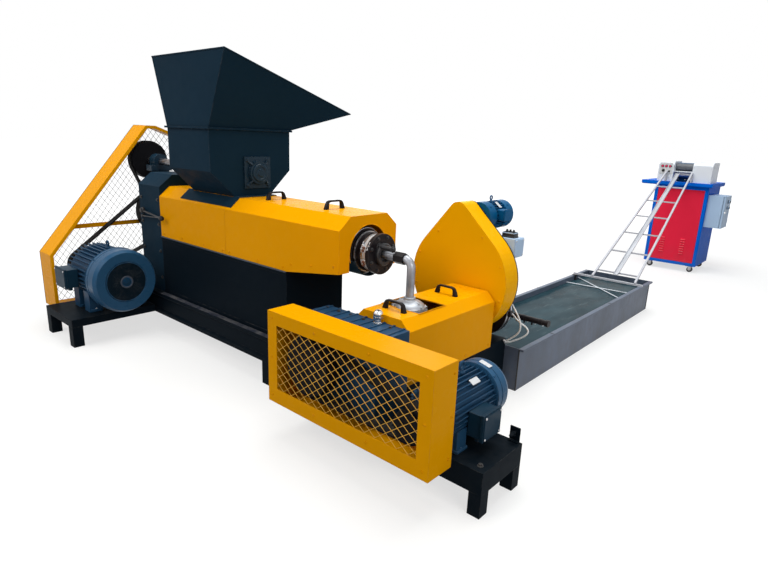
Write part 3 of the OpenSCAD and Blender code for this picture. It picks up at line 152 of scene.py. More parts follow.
def maths(t, op, a, b):
    n = add(t, "ShaderNodeMath", operation=op)
    for i, v in enumerate((a, b)):
        if isinstance(v, (int, float)):
            n.inputs[i].default_value = v
        else:
            t.links.new(v, n.inputs[i])
    return n.outputs[0]


def times(t, a, b):
    return maths(t, "MULTIPLY", a, b)


def mix(t, factor, a, b):
    n = add(t, "ShaderNodeMix", data_type="RGBA")
    for i, v in ((0, factor), (6, a), (7, b)):
        if isinstance(v, (int, float)):
            n.inputs[i].default_value = v
        elif isinstance(v, tuple):
            n.inputs[i].default_value = (*v, 1)
        else:
            t.links.new(v, n.inputs[i])
    return n.outputs[2]


def shade(rgb, k):
    return tuple(min(1.0, c * k) for c in rgb)


def stretched(t, at, scale):
    n = t.nodes.new("ShaderNodeMapping")
    n.inputs["Scale"].default_value = scale
    t.links.new(at, n.inputs["Vector"])
    return n.outputs["Vector"]


def close(t, shader):
    out = t.nodes.new("ShaderNodeOutputMaterial")
    t.links.new(shader.outputs[0], out.inputs["Surface"])


BARE_STEEL = (0.30, 0.29, 0.28)
GRIME_RGB = (0.20, 0.18, 0.16)
DUST_RGB = (0.55, 0.52, 0.47)
GRIME_HEIGHT = 0.35
PATCH_SCALE = 17.0
PATCH_DARK = 0.8
PATCH_TONE = 1.4
COAT_ROUGH = 0.12
ROUGH_LESS = 0.09
ROUGH_MORE = 0.14
ROUGH_LEAST = 0.04
GRAIN_DEPTH = 2 * MM


def surface(name, rgb, rough=0.4, metal=0.0, coat=0.0, spec=0.5, dust=0.06, wear=0.25, bare=BARE_STEEL,
            grain=320.0, bump=0.05, grime=0.2, edge=0.004, tone=0.08, spread=(1, 1, 1), blotch=2.2):
    """Slow changes of tone, dust on top, grime near the floor, rubbed edges and a fine grain."""
    m, t = tree(name)
    link = t.links.new
    co = t.nodes.new("ShaderNodeTexCoord").outputs["Object"]
    geo = t.nodes.new("ShaderNodeNewGeometry")
    place = t.nodes.new("ShaderNodeSeparateXYZ")
    link(co, place.inputs[0])
    facing = t.nodes.new("ShaderNodeSeparateXYZ")
    link(geo.outputs["Normal"], facing.inputs[0])
    along = stretched(t, co, spread)
    slow = noise(t, along, blotch, 5)
    patch = noise(t, along, PATCH_SCALE, 6, 0.65)
    fine = noise(t, along, grain, 3)
    colour = mix(t, ramp(t, slow, 0.32, 0.68), shade(rgb, 1 - tone), shade(rgb, 1 + tone))
    colour = mix(t, times(t, ramp(t, patch, 0.5, 0.75), PATCH_TONE * tone), colour, shade(rgb, PATCH_DARK))
    floorward = times(t, ramp(t, place.outputs["Z"], GRIME_HEIGHT, 0.0), ramp(t, patch, 0.35, 0.7))
    colour = mix(t, times(t, floorward, grime), colour, GRIME_RGB)
    top = times(t, ramp(t, facing.outputs["Z"], 0.75, 1.0), ramp(t, patch, 0.38, 0.7))
    colour = mix(t, times(t, top, dust), colour, DUST_RGB)
    bevel = add(t, "ShaderNodeBevel", samples=4, Radius=edge)
    dot = add(t, "ShaderNodeVectorMath", operation="DOT_PRODUCT")
    link(bevel.outputs["Normal"], dot.inputs[0])
    link(geo.outputs["Normal"], dot.inputs[1])
    rubbed = times(t, ramp(t, dot.outputs["Value"], 0.985, 0.86), ramp(t, patch, 0.46, 0.62))
    colour = mix(t, times(t, rubbed, wear), colour, bare)
    bs = add(t, "ShaderNodeBsdfPrincipled", Metallic=metal, Coat_Weight=coat, Coat_Roughness=COAT_ROUGH,
             Specular_IOR_Level=spec)
    link(colour, bs.inputs["Base Color"])
    smoothest = max(ROUGH_LEAST, rough - ROUGH_LESS)
    link(ramp(t, patch, 0.25, 0.8, smoothest, rough + ROUGH_MORE), bs.inputs["Roughness"])
    b = add(t, "ShaderNodeBump", Strength=bump, Distance=GRAIN_DEPTH)
    link(fine, b.inputs["Height"])
    link(bevel.outputs["Normal"], b.inputs["Normal"])
    link(b.outputs["Normal"], bs.inputs["Normal"])
    close(t, bs)
    m.diffuse_color = (*rgb, 1)
    return m


YELLOW = dict(rough=0.24, spec=0.015, dust=0.0, wear=0.2, tone=0.02, grime=0.02)
FINISHES = dict(
    cover_paint=dict(YELLOW, rgb=(0.88, 0.365, 0.0008)),
    # filter yellow: the cover yellow made lighter and yellower, painted light on the filter guard
    lit_filter_yellow=dict(YELLOW, rgb=(0.95, 0.45, 0.0008)),
    # guard yellow: the cover yellow darkened, painted shade on the second belt guard
    shaded_guard_yellow=dict(YELLOW, rgb=(0.77, 0.335, 0.0006), spec=0.012),
    base_paint=dict(rgb=(0.004, 0.008, 0.013), rough=0.45, spec=0.014, dust=0.01, wear=0.2, grime=0.03),
    hopper_paint=dict(rgb=(0.008, 0.026, 0.047), rough=0.45, spec=0.016, dust=0.02),
    drive_paint=dict(rgb=(0.014, 0.058, 0.125), rough=0.34, spec=0.07, dust=0.02, grime=0.06),
    # cowl paint: the drive paint made lighter, painted light on the cowls of both motors
    lit_cowl_paint=dict(rgb=(0.022, 0.086, 0.180), rough=0.30, spec=0.10, dust=0.02, grime=0.06),
    # dark drive: the drive paint darkened, painted shade on the terminal boxes and their lids
    shaded_drive_paint=dict(rgb=(0.007, 0.028, 0.052), rough=0.36, spec=0.05, dust=0.02),
    teal_paint=dict(rgb=(0.003, 0.090, 0.225), rough=0.32, spec=0.04),
    black_paint=dict(rgb=(0.010, 0.008, 0.010), rough=0.36, spec=0.12),
    box_paint=dict(rgb=(0.42, 0.57, 0.78), rough=0.45, spec=0.15, wear=0.15, grain=700.0, tone=0.03),
    blue_paint=dict(rgb=(0.003, 0.140, 0.70), rough=0.34, spec=0.006, tone=0.04),
    red_paint=dict(rgb=(0.88, 0.024, 0.066), rough=0.34, spec=0.03, tone=0.03),
    # paler red: painted highlight on the louvre lips
    highlight_red=dict(rgb=(0.90, 0.20, 0.24), rough=0.45, spec=0.1, edge=0.001),
    button_red=dict(rgb=(0.70, 0.01, 0.09), rough=0.3, coat=0.3, edge=0.001),
    white_paint=dict(rgb=(0.80, 0.84, 0.92), rough=0.38, spec=0.3, dust=0.03, tone=0.02),
    ladder_paint=dict(rgb=(0.56, 0.57, 0.63), rough=0.36, spec=0.2, dust=0.0, tone=0.06),
    # grille paint: the dark grille wires, and the dark disc that paints the shade in the fan opening
    grille_and_shade_paint=dict(rgb=(0.005, 0.013, 0.022), rough=0.5, spec=0.03, edge=0.001),
    bearing_paint=dict(rgb=(0.009, 0.029, 0.052), rough=0.26, spec=0.16, dust=0.0, wear=0.1, edge=0.003),
    # ledge paint: lighter than the plinth, painted highlight along its top ledge, with dust
    ledge_highlight_paint=dict(rgb=(0.026, 0.032, 0.050), rough=0.5, spec=0.08, dust=0.2, tone=0.2, edge=0.001),
    # rail paint: the hub rings' own pale grey, and on the cabinet's top rails painted highlight
    hub_grey_and_rail_highlight=dict(rgb=(0.070, 0.085, 0.115), rough=0.45, spec=0.1, tone=0.2, edge=0.001),
    bright_steel=dict(rgb=(0.36, 0.37, 0.40), rough=0.30, metal=1.0, spread=(1, 9, 9), dust=0.0,
                      wear=0.1),
    tank_steel=dict(rgb=(0.100, 0.128, 0.185), rough=0.44, metal=0.2, spec=0.15, dust=0.08, wear=0.45,
                    bare=(0.5, 0.52, 0.55), tone=0.2, spread=(1, 1, 0.6), blotch=2.5, grime=0.4),
    pipe_steel=dict(rgb=(0.27, 0.28, 0.31), rough=0.40, metal=0.85, bump=0.15, grain=90.0, tone=0.25,
                    blotch=14.0),
    guide_steel=dict(rgb=(0.55, 0.57, 0.62), rough=0.36, metal=0.6, dust=0.0, spread=(9, 1, 1),
                     tone=0.15),
    black_steel=dict(rgb=(0.018, 0.018, 0.021), rough=0.38, spec=0.3, edge=0.001),
    # cast iron near black: its own dark colour, darkened further as painted shade on the pulleys inside the
    # guards
    cast_iron=dict(rgb=(0.010, 0.010, 0.012), rough=0.5, spec=0.03, bump=0.12),
    zinc=dict(rgb=(0.46, 0.46, 0.48), rough=0.32, metal=1.0, edge=0.001, dust=0.0, wear=0.1),
    chrome=dict(rgb=(0.72, 0.72, 0.73), rough=0.10, metal=1.0, edge=0.001, dust=0.0, wear=0.0),
    plate_alu=dict(rgb=(0.62, 0.64, 0.67), rough=0.38, metal=0.4, edge=0.001, spread=(20, 1, 1)),
    cast_alu=dict(rgb=(0.38, 0.40, 0.44), rough=0.42, metal=0.7, bump=0.2, grain=140.0, edge=0.003,
                  tone=0.2),
    black_plastic=dict(rgb=(0.010, 0.010, 0.011), rough=0.42, spec=0.3, edge=0.002, dust=0.02, wear=0.0),
    ceramic=dict(rgb=(0.16, 0.06, 0.03), rough=0.5, edge=0.001, tone=0.2),
    wire_dark=dict(rgb=(0.055, 0.05, 0.045), rough=0.4, spec=0.2, edge=0.0005),
    wire_pale=dict(rgb=(0.84, 0.47, 0.07), rough=0.4, spec=0.2, edge=0.0005, tone=0.12),
    belt_rubber=dict(rgb=(0.008, 0.008, 0.009), rough=0.62, spec=0.05, wear=0.1),
    roller_rubber=dict(rgb=(0.10, 0.11, 0.13), rough=0.45, wear=0.1),
    caster_rubber=dict(rgb=(0.03, 0.03, 0.033), rough=0.55, wear=0.1),
    lead_sleeve=dict(rgb=(0.80, 0.81, 0.82), rough=0.6, bump=0.3, grain=900.0, edge=0.001),
)
look = {name: surface(name, **values) for name, values in FINISHES.items()}

# Every node takes the finish of its slot in the record, apart from these
finish_of = {s["node"]: s["material_slot"] for s in frame["record"]["subparts"]}
finish_of.update(main_gearbox="hopper_paint", strand_guide="guide_steel", heater_band="plate_alu",
                 melt_pipe="pipe_steel", strand_ladder="ladder_paint", feeder_bearings="bearing_paint",
                 # The filter guard takes a lighter copy of the cover yellow: painted light
                 # The motor cowls take a lighter copy of the drive paint: painted light
                 # The terminal boxes take a darker copy of the drive paint: painted shade
                 motor_cowls="lit_cowl_paint", terminal_boxes="shaded_drive_paint", filter_guard="lit_filter_yellow",
                 # The second belt guard takes a darker copy of the cover yellow: painted shade
                 second_belt_guard="shaded_guard_yellow")
for name, obj in nodes.items():
    obj.data.materials.clear()
    obj.data.materials.append(look[finish_of[name]])

WATER_DEEP = (0.010, 0.030, 0.042)
WATER_CLEAR = (0.026, 0.062, 0.080)
# pale streaks: painted reflection on the water
WATER_REFLECTION_STREAK = (0.100, 0.150, 0.165)


def water_material():
    m, t = tree("water")
    link = t.links.new
    co = t.nodes.new("ShaderNodeTexCoord").outputs["Object"]
    slow = noise(t, stretched(t, co, (1, 0.4, 1)), 6.0, 5)
    ripple = noise(t, stretched(t, co, (1, 0.55, 1)), 22.0, 3)
    colour = mix(t, ramp(t, slow, 0.35, 0.7), WATER_DEEP, WATER_CLEAR)
    # Pale streaks painted on as reflection
    reflection_streak = noise(t, stretched(t, co, (3.0, 0.5, 1)), 7.0, 6, 0.7)
    colour = mix(t, ramp(t, reflection_streak, 0.58, 0.74, 0.0, 0.5), colour, WATER_REFLECTION_STREAK)
    bs = add(t, "ShaderNodeBsdfPrincipled", Roughness=0.16, IOR=1.33, Specular_IOR_Level=0.04)
    link(colour, bs.inputs["Base Color"])
    b = add(t, "ShaderNodeBump", Strength=0.18, Distance=0.01)
    link(ripple, b.inputs["Height"])
    link(b.outputs["Normal"], bs.inputs["Normal"])
    close(t, bs)
    return m


look["water"] = water_material()


# Shapes

UPRIGHT = 0.9
TINY_R = 1e-5
EASE = 1.5 * MM
PLATE_STEPS = 5
PLATE_EDGE = 0.3
WASHER = ((1.35, 0), (1.35, 0.22), (1.25, 0.28), (0, 0.28))
HEX_HEAD = ((1, 0.26), (1, 0.85), (0.86, 1.0), (0, 1.0))
SCREW_HEAD = ((1, 0), (1, 0.3), (0.8, 0.55), (0.45, 0.6), (0.45, 0.3), (0, 0.3))
EYE_COLLAR = ((0.75, 0), (0.75, 0.25), (0.45, 0.5), (0.4, 0.8))


def across(axis):
    """Two unit vectors square to an axis, the first of them as upright as can be."""
    a = axis.normalized()
    lead = X if abs(a.z) > UPRIGHT else Z
    u = (lead - a * lead.dot(a)).normalized()
    return a, u, a.cross(u)


def around(centre, axis, r, count, start=0.0, sweep=math.tau):
    _, u, w = across(axis)
    angles = [start + sweep * k / count for k in range(count)]
    return [centre + (u * math.cos(q) + w * math.sin(q)) * r for q in angles]


def on_cylinder(centre, axis, r, along, degrees):
    """Point and outward direction on a cylinder, with degrees counted from straight up."""
    _, u, w = across(axis)
    q = math.radians(degrees)
    out = u * math.cos(q) + w * math.sin(q)
    return centre + axis * along + out * r, out


class Heap:
    """Collects the solids of one piece, makes one mesh of them and is then empty for the next."""

    def __init__(self):
        self.v, self.f = [], []

    def put(self, verts, faces):
        n = len(self.v)
        self.v += [tuple(p) for p in verts]
        self.f += [[i + n for i in f] for f in faces]

    def rings(self, verts, n, count):
        faces = [[r * n + k, r * n + (k + 1) % n, (r + 1) * n + (k + 1) % n, (r + 1) * n + k]
                 for r in range(count - 1) for k in range(n)]
        self.put(verts, faces + [list(range(n))[::-1], [(count - 1) * n + k for k in range(n)]])

    def box(self, low, high, chamfer=EASE):
        c = chamfer
        verts = []
        levels = [(low.z, c), (low.z + c, 0), (high.z - c, 0), (high.z, c)]
        for z, i in levels:
            x0, x1 = low.x + i, high.x - i
            y0, y1 = low.y + i, high.y - i
            verts += [(x0 + c, y0, z), (x1 - c, y0, z), (x1, y0 + c, z), (x1, y1 - c, z),
                      (x1 - c, y1, z), (x0 + c, y1, z), (x0, y1 - c, z), (x0, y0 + c, z)]
        self.rings(verts, 8, len(levels))

    def plate(self, centre, axis, w, h, t, r, up=None):
        """Round-cornered plate standing on a face, its edge eased; w runs across and h along up."""
        a, u, side = across(axis)
        if up is not None:
            u, side = up, axis.cross(up)
        steps = PLATE_STEPS
        verts = []
        for lift, inset in ((0, 0), (t * (1 - PLATE_EDGE), 0), (t, t * PLATE_EDGE)):
            for k, (sx, sy) in enumerate(((1, 1), (-1, 1), (-1, -1), (1, -1))):
                for j in range(steps):
                    q = math.tau / 4 * (k + j / (steps - 1))
                    x = sx * (w / 2 - r) + (r - inset) * math.cos(q)
                    y = sy * (h / 2 - r) + (r - inset) * math.sin(q)
                    verts.append(centre + side * x + u * y + a * lift)
        self.rings(verts, steps * 4, 3)

    def lathe(self, pos, axis, profile, n=24, turn=0.0):
        verts = []
        for r, height in profile:
            verts += around(pos + axis.normalized() * height, axis, max(r, TINY_R), n, turn)
        self.rings(verts, n, len(profile))

    def band(self, pos, axis, r0, r1, width, n=64, start=0.0, sweep=math.tau):
        """Part of a ring, or a whole one, from radius r0 to r1."""
        a = axis.normalized()
        whole = sweep == math.tau
        count = n if whole else n + 1
        loops = []
        for r, lift in ((r0, 0), (r1, 0), (r1, width), (r0, width)):
            loops.append(around(pos + a * lift, axis, r, n, start, sweep))
            if not whole:
                loops[-1].append(around(pos + a * lift, axis, r, 1, start + sweep)[0])
        verts = [loops[j][i] for i in range(count) for j in range(4)]
        pairs = [(i * 4, (i + 1) % count * 4) for i in range(count if whole else count - 1)]
        faces = [[i + j, i + (j + 1) % 4, k + (j + 1) % 4, k + j] for i, k in pairs for j in range(4)]
        if not whole:
            faces += [[3, 2, 1, 0], [(count - 1) * 4 + j for j in range(4)]]
        self.put(verts, faces)

    def tube(self, points, r, n=8, closed=False):
        count = len(points)
        ref, verts = None, []
        for i, p in enumerate(points):
            after = points[(i + 1) % count] if closed else points[min(i + 1, count - 1)]
            before = points[i - 1] if closed else points[max(i - 1, 0)]
            d = (after - before).normalized()
            ref = d.orthogonal() if ref is None else ref - d * ref.dot(d)
            ref.normalize()
            w = d.cross(ref)
            angles = [math.tau * k / n for k in range(n)]
            verts += [p + (ref * math.cos(q) + w * math.sin(q)) * r for q in angles]
        if closed:
            rows = [(i * n, (i + 1) % count * n) for i in range(count)]
            self.put(verts, [[a + k, a + (k + 1) % n, b + (k + 1) % n, b + k]
                             for a, b in rows for k in range(n)])
        else:
            self.rings(verts, n, count)

    def hoop(self, centre, axis, r, wire, count=48, n=8):
        """A closed ring of round wire."""
        self.tube(around(centre, axis, r, count), wire, n, True)

    def loop(self, points, r, n=8):
        """Straight tubes from each point to the next and back to the first."""
        for a, b in zip(points, points[1:] + points[:1]):
            self.tube([a, b], r, n)

    def bolt(self, pos, axis, r, turn=0.0):
        """Washer and hexagon head with a chamfered crown."""
        self.lathe(pos, axis, scaled(WASHER, r), 16)
        self.lathe(pos, axis, scaled(HEX_HEAD, r), 6, turn)

    def screw(self, pos, axis, r):
        """Low domed screw head with a sunk hexagon."""
        self.lathe(pos, axis, scaled(SCREW_HEAD, r), 14)

    def eye(self, pos, r, across_axis):
        """Lifting eye on a collar."""
        self.lathe(pos, Z, scaled(EYE_COLLAR, r), 20)
        self.hoop(pos + Z * r * 1.6, across_axis, r * 0.8, r * 0.28, 24, 10)

    def make(self, name, finish, body="line", angle=35):
        mesh = bpy.data.meshes.new(name)
        mesh.from_pydata(self.v, [], self.f)
        self.v, self.f = [], []
        mesh.validate()
        mesh.update()
        mesh.shade_smooth()
        mesh.set_sharp_from_angle(angle=math.radians(angle))
        obj = bpy.data.objects.new(name, mesh)
        bpy.context.scene.collection.objects.link(obj)
        obj.data.materials.append(look[finish])
        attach(obj, body)
        return obj


# The sections below fill these two and make their pieces from them
h = Heap()
g = Heap()


# Heater leads, as tubes between the filter plate, the die and the frame

def smooth(points, steps=6):
    """A curve through all the points."""
    out = []
    for i in range(len(points) - 1):
        p0, p1 = points[max(i - 1, 0)], points[i]
        p2, p3 = points[i + 1], points[min(i + 2, len(points) - 1)]
        for k in range(steps):
            t = k / steps
            out.append(0.5 * (2 * p1 + (p2 - p0) * t + (2 * p0 - 5 * p1 + 4 * p2 - p3) * t ** 2
                              + (3 * p1 - p0 - 3 * p2 + p3) * t ** 3))
    return out + [points[-1]]


LEAD_R = 5 * MM
PLATE_Y = 738
AXIS_Z = 500
FERRULE = mm((5.25, 0.2), (7.5, 0.4), (7.5, 8), (6, 10), (5.1, 10), (5.1, 0.2))
lead_long = [(180, 0, 80), (180, 8, 80), (185, 14, 71), (207, 16, 44), (230, 16, 13), (250, 16, -18),
             (263, 16, -50), (264, 16, -85), (252, 16, -112), (232, 16, -136), (205, 16, -160),
             (183, 16, -176), (168, 16, -181), (160, 16, -181)]
lead_short = [(186, 38, -10), (194, 38, -10), (206, 38, -18), (224, 37, -33), (247, 36, -46),
              (271, 34, -56), (291, 33, -65), (304, 32, -76), (309, 32, -89), (306, 32, -103),
              (296, 32, -117), (278, 32, -134), (250, 32, -154), (217, 32, -175), (190, 32, -190),
              (168, 32, -196), (160, 32, -196)]
for name, route in (("heater_lead_long", lead_long), ("heater_lead_short", lead_short)):
    path = smooth([P(x, PLATE_Y + y, AXIS_Z + z) for x, y, z in route])
    g.tube(path, LEAD_R, 16)
    piece = g.make(name + "_sleeve", "lead_sleeve", angle=60)
    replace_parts(piece, name)
    for end, inner in ((path[0], path[3]), (path[-1], path[-4])):
        h.lathe(end, inner - end, FERRULE, 20)
h.make("lead_ferrules", "zinc")


# Belt guard meshes, as crossed wires
CELL_W = 61 * MM
CELL_H = 47 * MM
MESH_WIRE_R = 1.4 * MM
FRAME_WIRE_R = 2 * MM
EDGE_W = 9 * MM
EDGE_EASE = 0.6 * MM
SHORTEST_WIRE = 4 * MM
WIRE_CROSS = 0.9
MAIN_FLAT = 0.8
PARALLEL = 1e-9
ENDLESS = 1e9
GUARD_OUTLINE = [(-330, 157), (420, 700), (420, 1400), (80, 1523), (0, 1523), (-796, 569), (-796, 157)]


def clip(p, d, outline):
    """Part of the line through p along d that lies inside a convex outline."""
    lo, hi = -ENDLESS, ENDLESS
    for a, b in zip(outline, outline[1:] + outline[:1]):
        nx, ny = b[1] - a[1], a[0] - b[0]
        s = nx * d[0] + ny * d[1]
        k = nx * (a[0] - p[0]) + ny * (a[1] - p[1])
        if abs(s) < PARALLEL:
            if k < 0:
                return None
        elif s > 0:
            hi = min(hi, k / s)
        else:
            lo = max(lo, k / s)
    return (lo, hi) if hi - lo > SHORTEST_WIRE else None


def wire_mesh(heap, outline, cell_w, cell_h, place):
    """Wires crossing in diamonds over an outline; place maps its two coordinates and a lift to a point."""
    slope = math.atan2(cell_h, cell_w)
    pitch = cell_w * math.sin(slope)
    cx = sum(p[0] for p in outline) / len(outline)
    cy = sum(p[1] for p in outline) / len(outline)
    reach = max(math.hypot(p[0] - cx, p[1] - cy) for p in outline)
    for sign in (1, -1):
        d = (math.cos(slope), sign * math.sin(slope))
        lift = sign * MESH_WIRE_R * WIRE_CROSS
        for i in range(-int(reach / pitch), int(reach / pitch) + 1):
            p = (cx - d[1] * i * pitch, cy + d[0] * i * pitch)
            ends = clip(p, d, outline)
            if ends:
                heap.tube([place(p[0] + d[0] * e, p[1] + d[1] * e, lift) for e in ends], MESH_WIRE_R, 6)


low, high = box_of("second_guard_mesh")
mesh_y = (low.y + high.y) / 2
window = rectangle(low.x, high.x, low.z, high.z)
wire_mesh(h, window, CELL_W, CELL_H, lambda a, b, c: Vector((a, mesh_y + c, b)))
for x0, x1, z0, z1 in ((low.x, high.x, low.z, low.z + EDGE_W), (low.x, high.x, high.z - EDGE_W, high.z),
                       (low.x, low.x + EDGE_W, low.z, high.z), (high.x - EDGE_W, high.x, low.z, high.z)):
    h.box(Vector((x0, mesh_y - MESH_WIRE_R, z0)), Vector((x1, mesh_y + MESH_WIRE_R, z1)), EDGE_EASE)
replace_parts(h.make("second_mesh_wires", "wire_pale"), "second_guard_mesh")

mesh_x = middle("main_guard_mesh").x
guard = [(origin.y + a * MM, b * MM) for a, b in GUARD_OUTLINE]
wire_mesh(h, guard, CELL_H, CELL_W, lambda a, b, c: Vector((mesh_x + c * MAIN_FLAT, a, b)))
h.loop([Vector((mesh_x, *p)) for p in guard], FRAME_WIRE_R)
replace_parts(h.make("main_mesh_wires", "wire_dark"), "main_guard_mesh")

# Water in the tank
WATER_NX, WATER_NY = 24, 110
WATER_X = (-325.6, 255.6)
WATER_Y = (787.4, 3340.6)
WATER_Z = 236
RIPPLE = 1.2
WAVE_X, WAVE_Y, SWELL = 0.9, 0.23, 0.41
row = WATER_NX + 1
water = []
for j, y in enumerate(spaced(*WATER_Y, WATER_NY + 1)):
    for i, x in enumerate(spaced(*WATER_X, row)):
        wave = RIPPLE * math.sin(i * WAVE_X + j * WAVE_Y) * math.sin(j * SWELL)
        water.append(P(x, y, WATER_Z + wave))
h.put(water, [[j * row + i, j * row + i + 1, (j + 1) * row + i + 1, (j + 1) * row + i]
              for j in range(WATER_NY) for i in range(WATER_NX)])
h.make("tank_water", "water", angle=80)


# Motors: grille, rim and hub of the fan, with sizes as shares of the cowl's radius
FAN_SHARE = 0.62
SHADE_DISC_SHARE = 0.61
HUB_SHARE = 0.175
SPOKE_IN_SHARE = 0.2
RING_SHARES = spaced(0.24, 0.6, 9)
RING_WIRE, SPOKE_WIRE, RIM_WIRE, HUB_WIRE = 0.008, 0.007, 0.012, 0.028
HUB_PROFILE = ((0.15, 0), (0.15, 2), (0.13, 3), (0, 3))
SPOKES = 24
SHADE_DISC_LIFT = 0.4 * MM
COWL_PROUD = 0.5 * MM
COWL_SCREW_R = 7.5 * MM
COWL_SCREW_BACK = 18 * MM
COWL_SEAMS = mm((2, 2.2), (40, 1.4))
MOTOR_EYE_R = 22 * MM


def fan_grille(name, centre, axis, r):
    """Ring-and-spoke grille over a fan opening, with a dark disc under it as painted shade in the opening,
    a raised hub ring and an eased rim.
    """
    h = Heap()
    for share in RING_SHARES:
        h.hoop(centre, axis, r * share, r * RING_WIRE, 48, 6)
    for spoke in around(centre, axis, 1.0, SPOKES):
        d = spoke - centre
        h.tube([centre + d * r * SPOKE_IN_SHARE, centre + d * r * FAN_SHARE], r * SPOKE_WIRE, 6)
    # Dark disc across the fan opening: painted shade
    h.lathe(centre, axis, [(r * SHADE_DISC_SHARE, -MM), (r * SHADE_DISC_SHARE, SHADE_DISC_LIFT),
                           (r * SPOKE_IN_SHARE, SHADE_DISC_LIFT), (0, SHADE_DISC_LIFT)], 48)
    h.make(name + "_grille", "grille_and_shade_paint")
    # Rim in the lightened cowl paint, painted light
    h.hoop(centre + axis * MM, axis, r * FAN_SHARE, r * RIM_WIRE, 72, 10)
    h.make(name + "_rim", "lit_cowl_paint")
    h.hoop(centre + axis * 2 * MM, axis, r * HUB_SHARE, r * HUB_WIRE, 48, 10)
    h.lathe(centre, axis, [(r * share, lift * MM) for share, lift in HUB_PROFILE], 40)
    h.make(name + "_hub", "hub_grey_and_rail_highlight")


def motor_fixings(name, centre, axis, side, cowl_r, cowl_start, fin_r):
    """Screws round the cowl, a lifting eye over the fins and eased cowl seams."""
    h = Heap()
    ring = centre + axis * (cowl_start + COWL_SCREW_BACK)
    for p in around(ring, axis, cowl_r - COWL_PROUD, 4, math.tau / 8):
        h.screw(p, p - ring, COWL_SCREW_R)
    # Cowl screws in the lightened cowl paint, painted light
    h.make(name + "_cowl_screws", "lit_cowl_paint")
    for back, wire in COWL_SEAMS:
        h.hoop(centre + axis * (cowl_start + back), axis, cowl_r + COWL_PROUD, wire, 72)
    h.eye(centre + Z * fin_r, MOTOR_EYE_R, side)
    h.make(name + "_eye", "drive_paint")


MAIN_AXIS = P(-2430, -510, 440)
MAIN_COWL_R = 225 * MM
SECOND_AXIS = P(470, -194.5, 368)
SECOND_COWL_R = 138 * MM
motor_fixings("main_motor", MAIN_AXIS, X, Y, MAIN_COWL_R, 120 * MM, 203 * MM)
fan_grille("main_motor_fan", P(-2163, -510, 440), X, MAIN_COWL_R)
motor_fixings("second_motor", SECOND_AXIS, Y, X, SECOND_COWL_R, 109.5 * MM, 125 * MM)
fan_grille("second_motor_fan", P(470, 17, 368), Y, SECOND_COWL_R)

# Terminal boxes: raised lids in the darkened drive paint (painted shade), lid screws and blank glands
LID_SHARE = 0.93
LID_T = 4 * MM
LID_CORNER = 10 * MM
LID_SCREW_R = 6 * MM
SCREW_ACROSS, SCREW_UP = 0.41, 0.40
GLAND_BACK = 45 * MM
GLAND_SINK = 0.5 * MM
GLAND_SHARE = 0.22
GLAND = mm((17, 0), (17, 8), (14, 10), (14, 20), (11, 22), (0, 22))
for centre, axis, wide, tall in ((P(-2565, -805, 440), -Y, 184, 144), (P(676, -247, 335), X, 144, 124)):
    _, up, side = across(axis)
    up, side = up * tall * MM, side * wide * MM
    h.plate(centre, axis, side.length * LID_SHARE, up.length * LID_SHARE, LID_T, LID_CORNER)
    for a, b in CORNERS:
        g.screw(centre + side * a * SCREW_ACROSS + up * b * SCREW_UP + axis * LID_T, axis, LID_SCREW_R)
    for a in SIGNS:
        foot = centre - axis * GLAND_BACK - Z * (up.length / 2 - GLAND_SINK) + side * a * GLAND_SHARE
        h.lathe(foot, -Z, GLAND, 6)
h.make("terminal_lids", "shaded_drive_paint")
g.make("terminal_screws", "zinc")

# Blank rating plates: motor, radius, place along and round it, width and height
RATING_T = 2 * MM
RATING_CORNER = 3 * MM
RATING_PLATES = ((SECOND_AXIS, Y, 138.2, 150, 14, 60, 30), (SECOND_AXIS, Y, 126.2, 5, 33, 30, 62),
                 (MAIN_AXIS, X, 205.2, -50, -28, 75, 42))
for centre, axis, r, along, degrees, wide, tall in RATING_PLATES:
    p, out = on_cylinder(centre, axis, r * MM, along * MM, degrees)
    h.plate(p, out, wide * MM, tall * MM, RATING_T, RATING_CORNER, up=axis)
h.make("rating_plates", "plate_alu")

# Feet of the motors with their hold-down bolts
MAIN_PAD = V(55, 42, 22)
SECOND_PAD = V(44, 40, 16)
for x, y in product((-2595, -2415), (-653, -367)):
    p = P(x, y, 200)
    top = p + Z * MAIN_PAD.z
    g.box(top - MAIN_PAD, p + MAIN_PAD, 4 * MM)
    for k in SIGNS:
        h.bolt(top + V(k * 35, 0, 0), Z, 11 * MM, k)
for y, (x, out) in product((-344, -150), ((384, -24), (556, 24))):
    p = P(x, y, 213)
    top = p + Z * SECOND_PAD.z
    g.box(top - SECOND_PAD, p + SECOND_PAD, 3 * MM)
    h.bolt(top + V(out, 0, 0), Z, 9 * MM, y)
h.make("motor_foot_bolts", "zinc")
g.make("motor_foot_pads", "drive_paint")

# Hopper: rolled rim, corner welds and the bolts of the flange
RIM_R = 5 * MM
WELD_R = 3 * MM
WELD_STEPS = 6
RIM_KNOB = ((0, 0), (0.75, 0.3), (1, 1), (0.75, 1.7), (0, 2))
HOPPER_X = (-1835, -1345)
HOPPER_Y = (-305, 305)
FLANGE_Z = 1510
FLANGE_OUT = 7
FLANGE_BOLT_R = 5 * MM
rim = [P(-2006, -290, 1952), P(-1174, -290, 1952), P(-1292, 829, 1655), P(-1888, 829, 1655)]
foot = [P(x, y, 1522) for x, y in rectangle(*HOPPER_X, *HOPPER_Y)]
h.loop(rim, RIM_R, 10)
for top, base in zip(rim, foot):
    h.lathe(top - Z * RIM_R, Z, scaled(RIM_KNOB, RIM_R), 12)
    h.tube([base.lerp(top, k) for k in spaced(0, 1, WELD_STEPS + 1)], WELD_R)
h.make("hopper_rim", "hopper_paint")

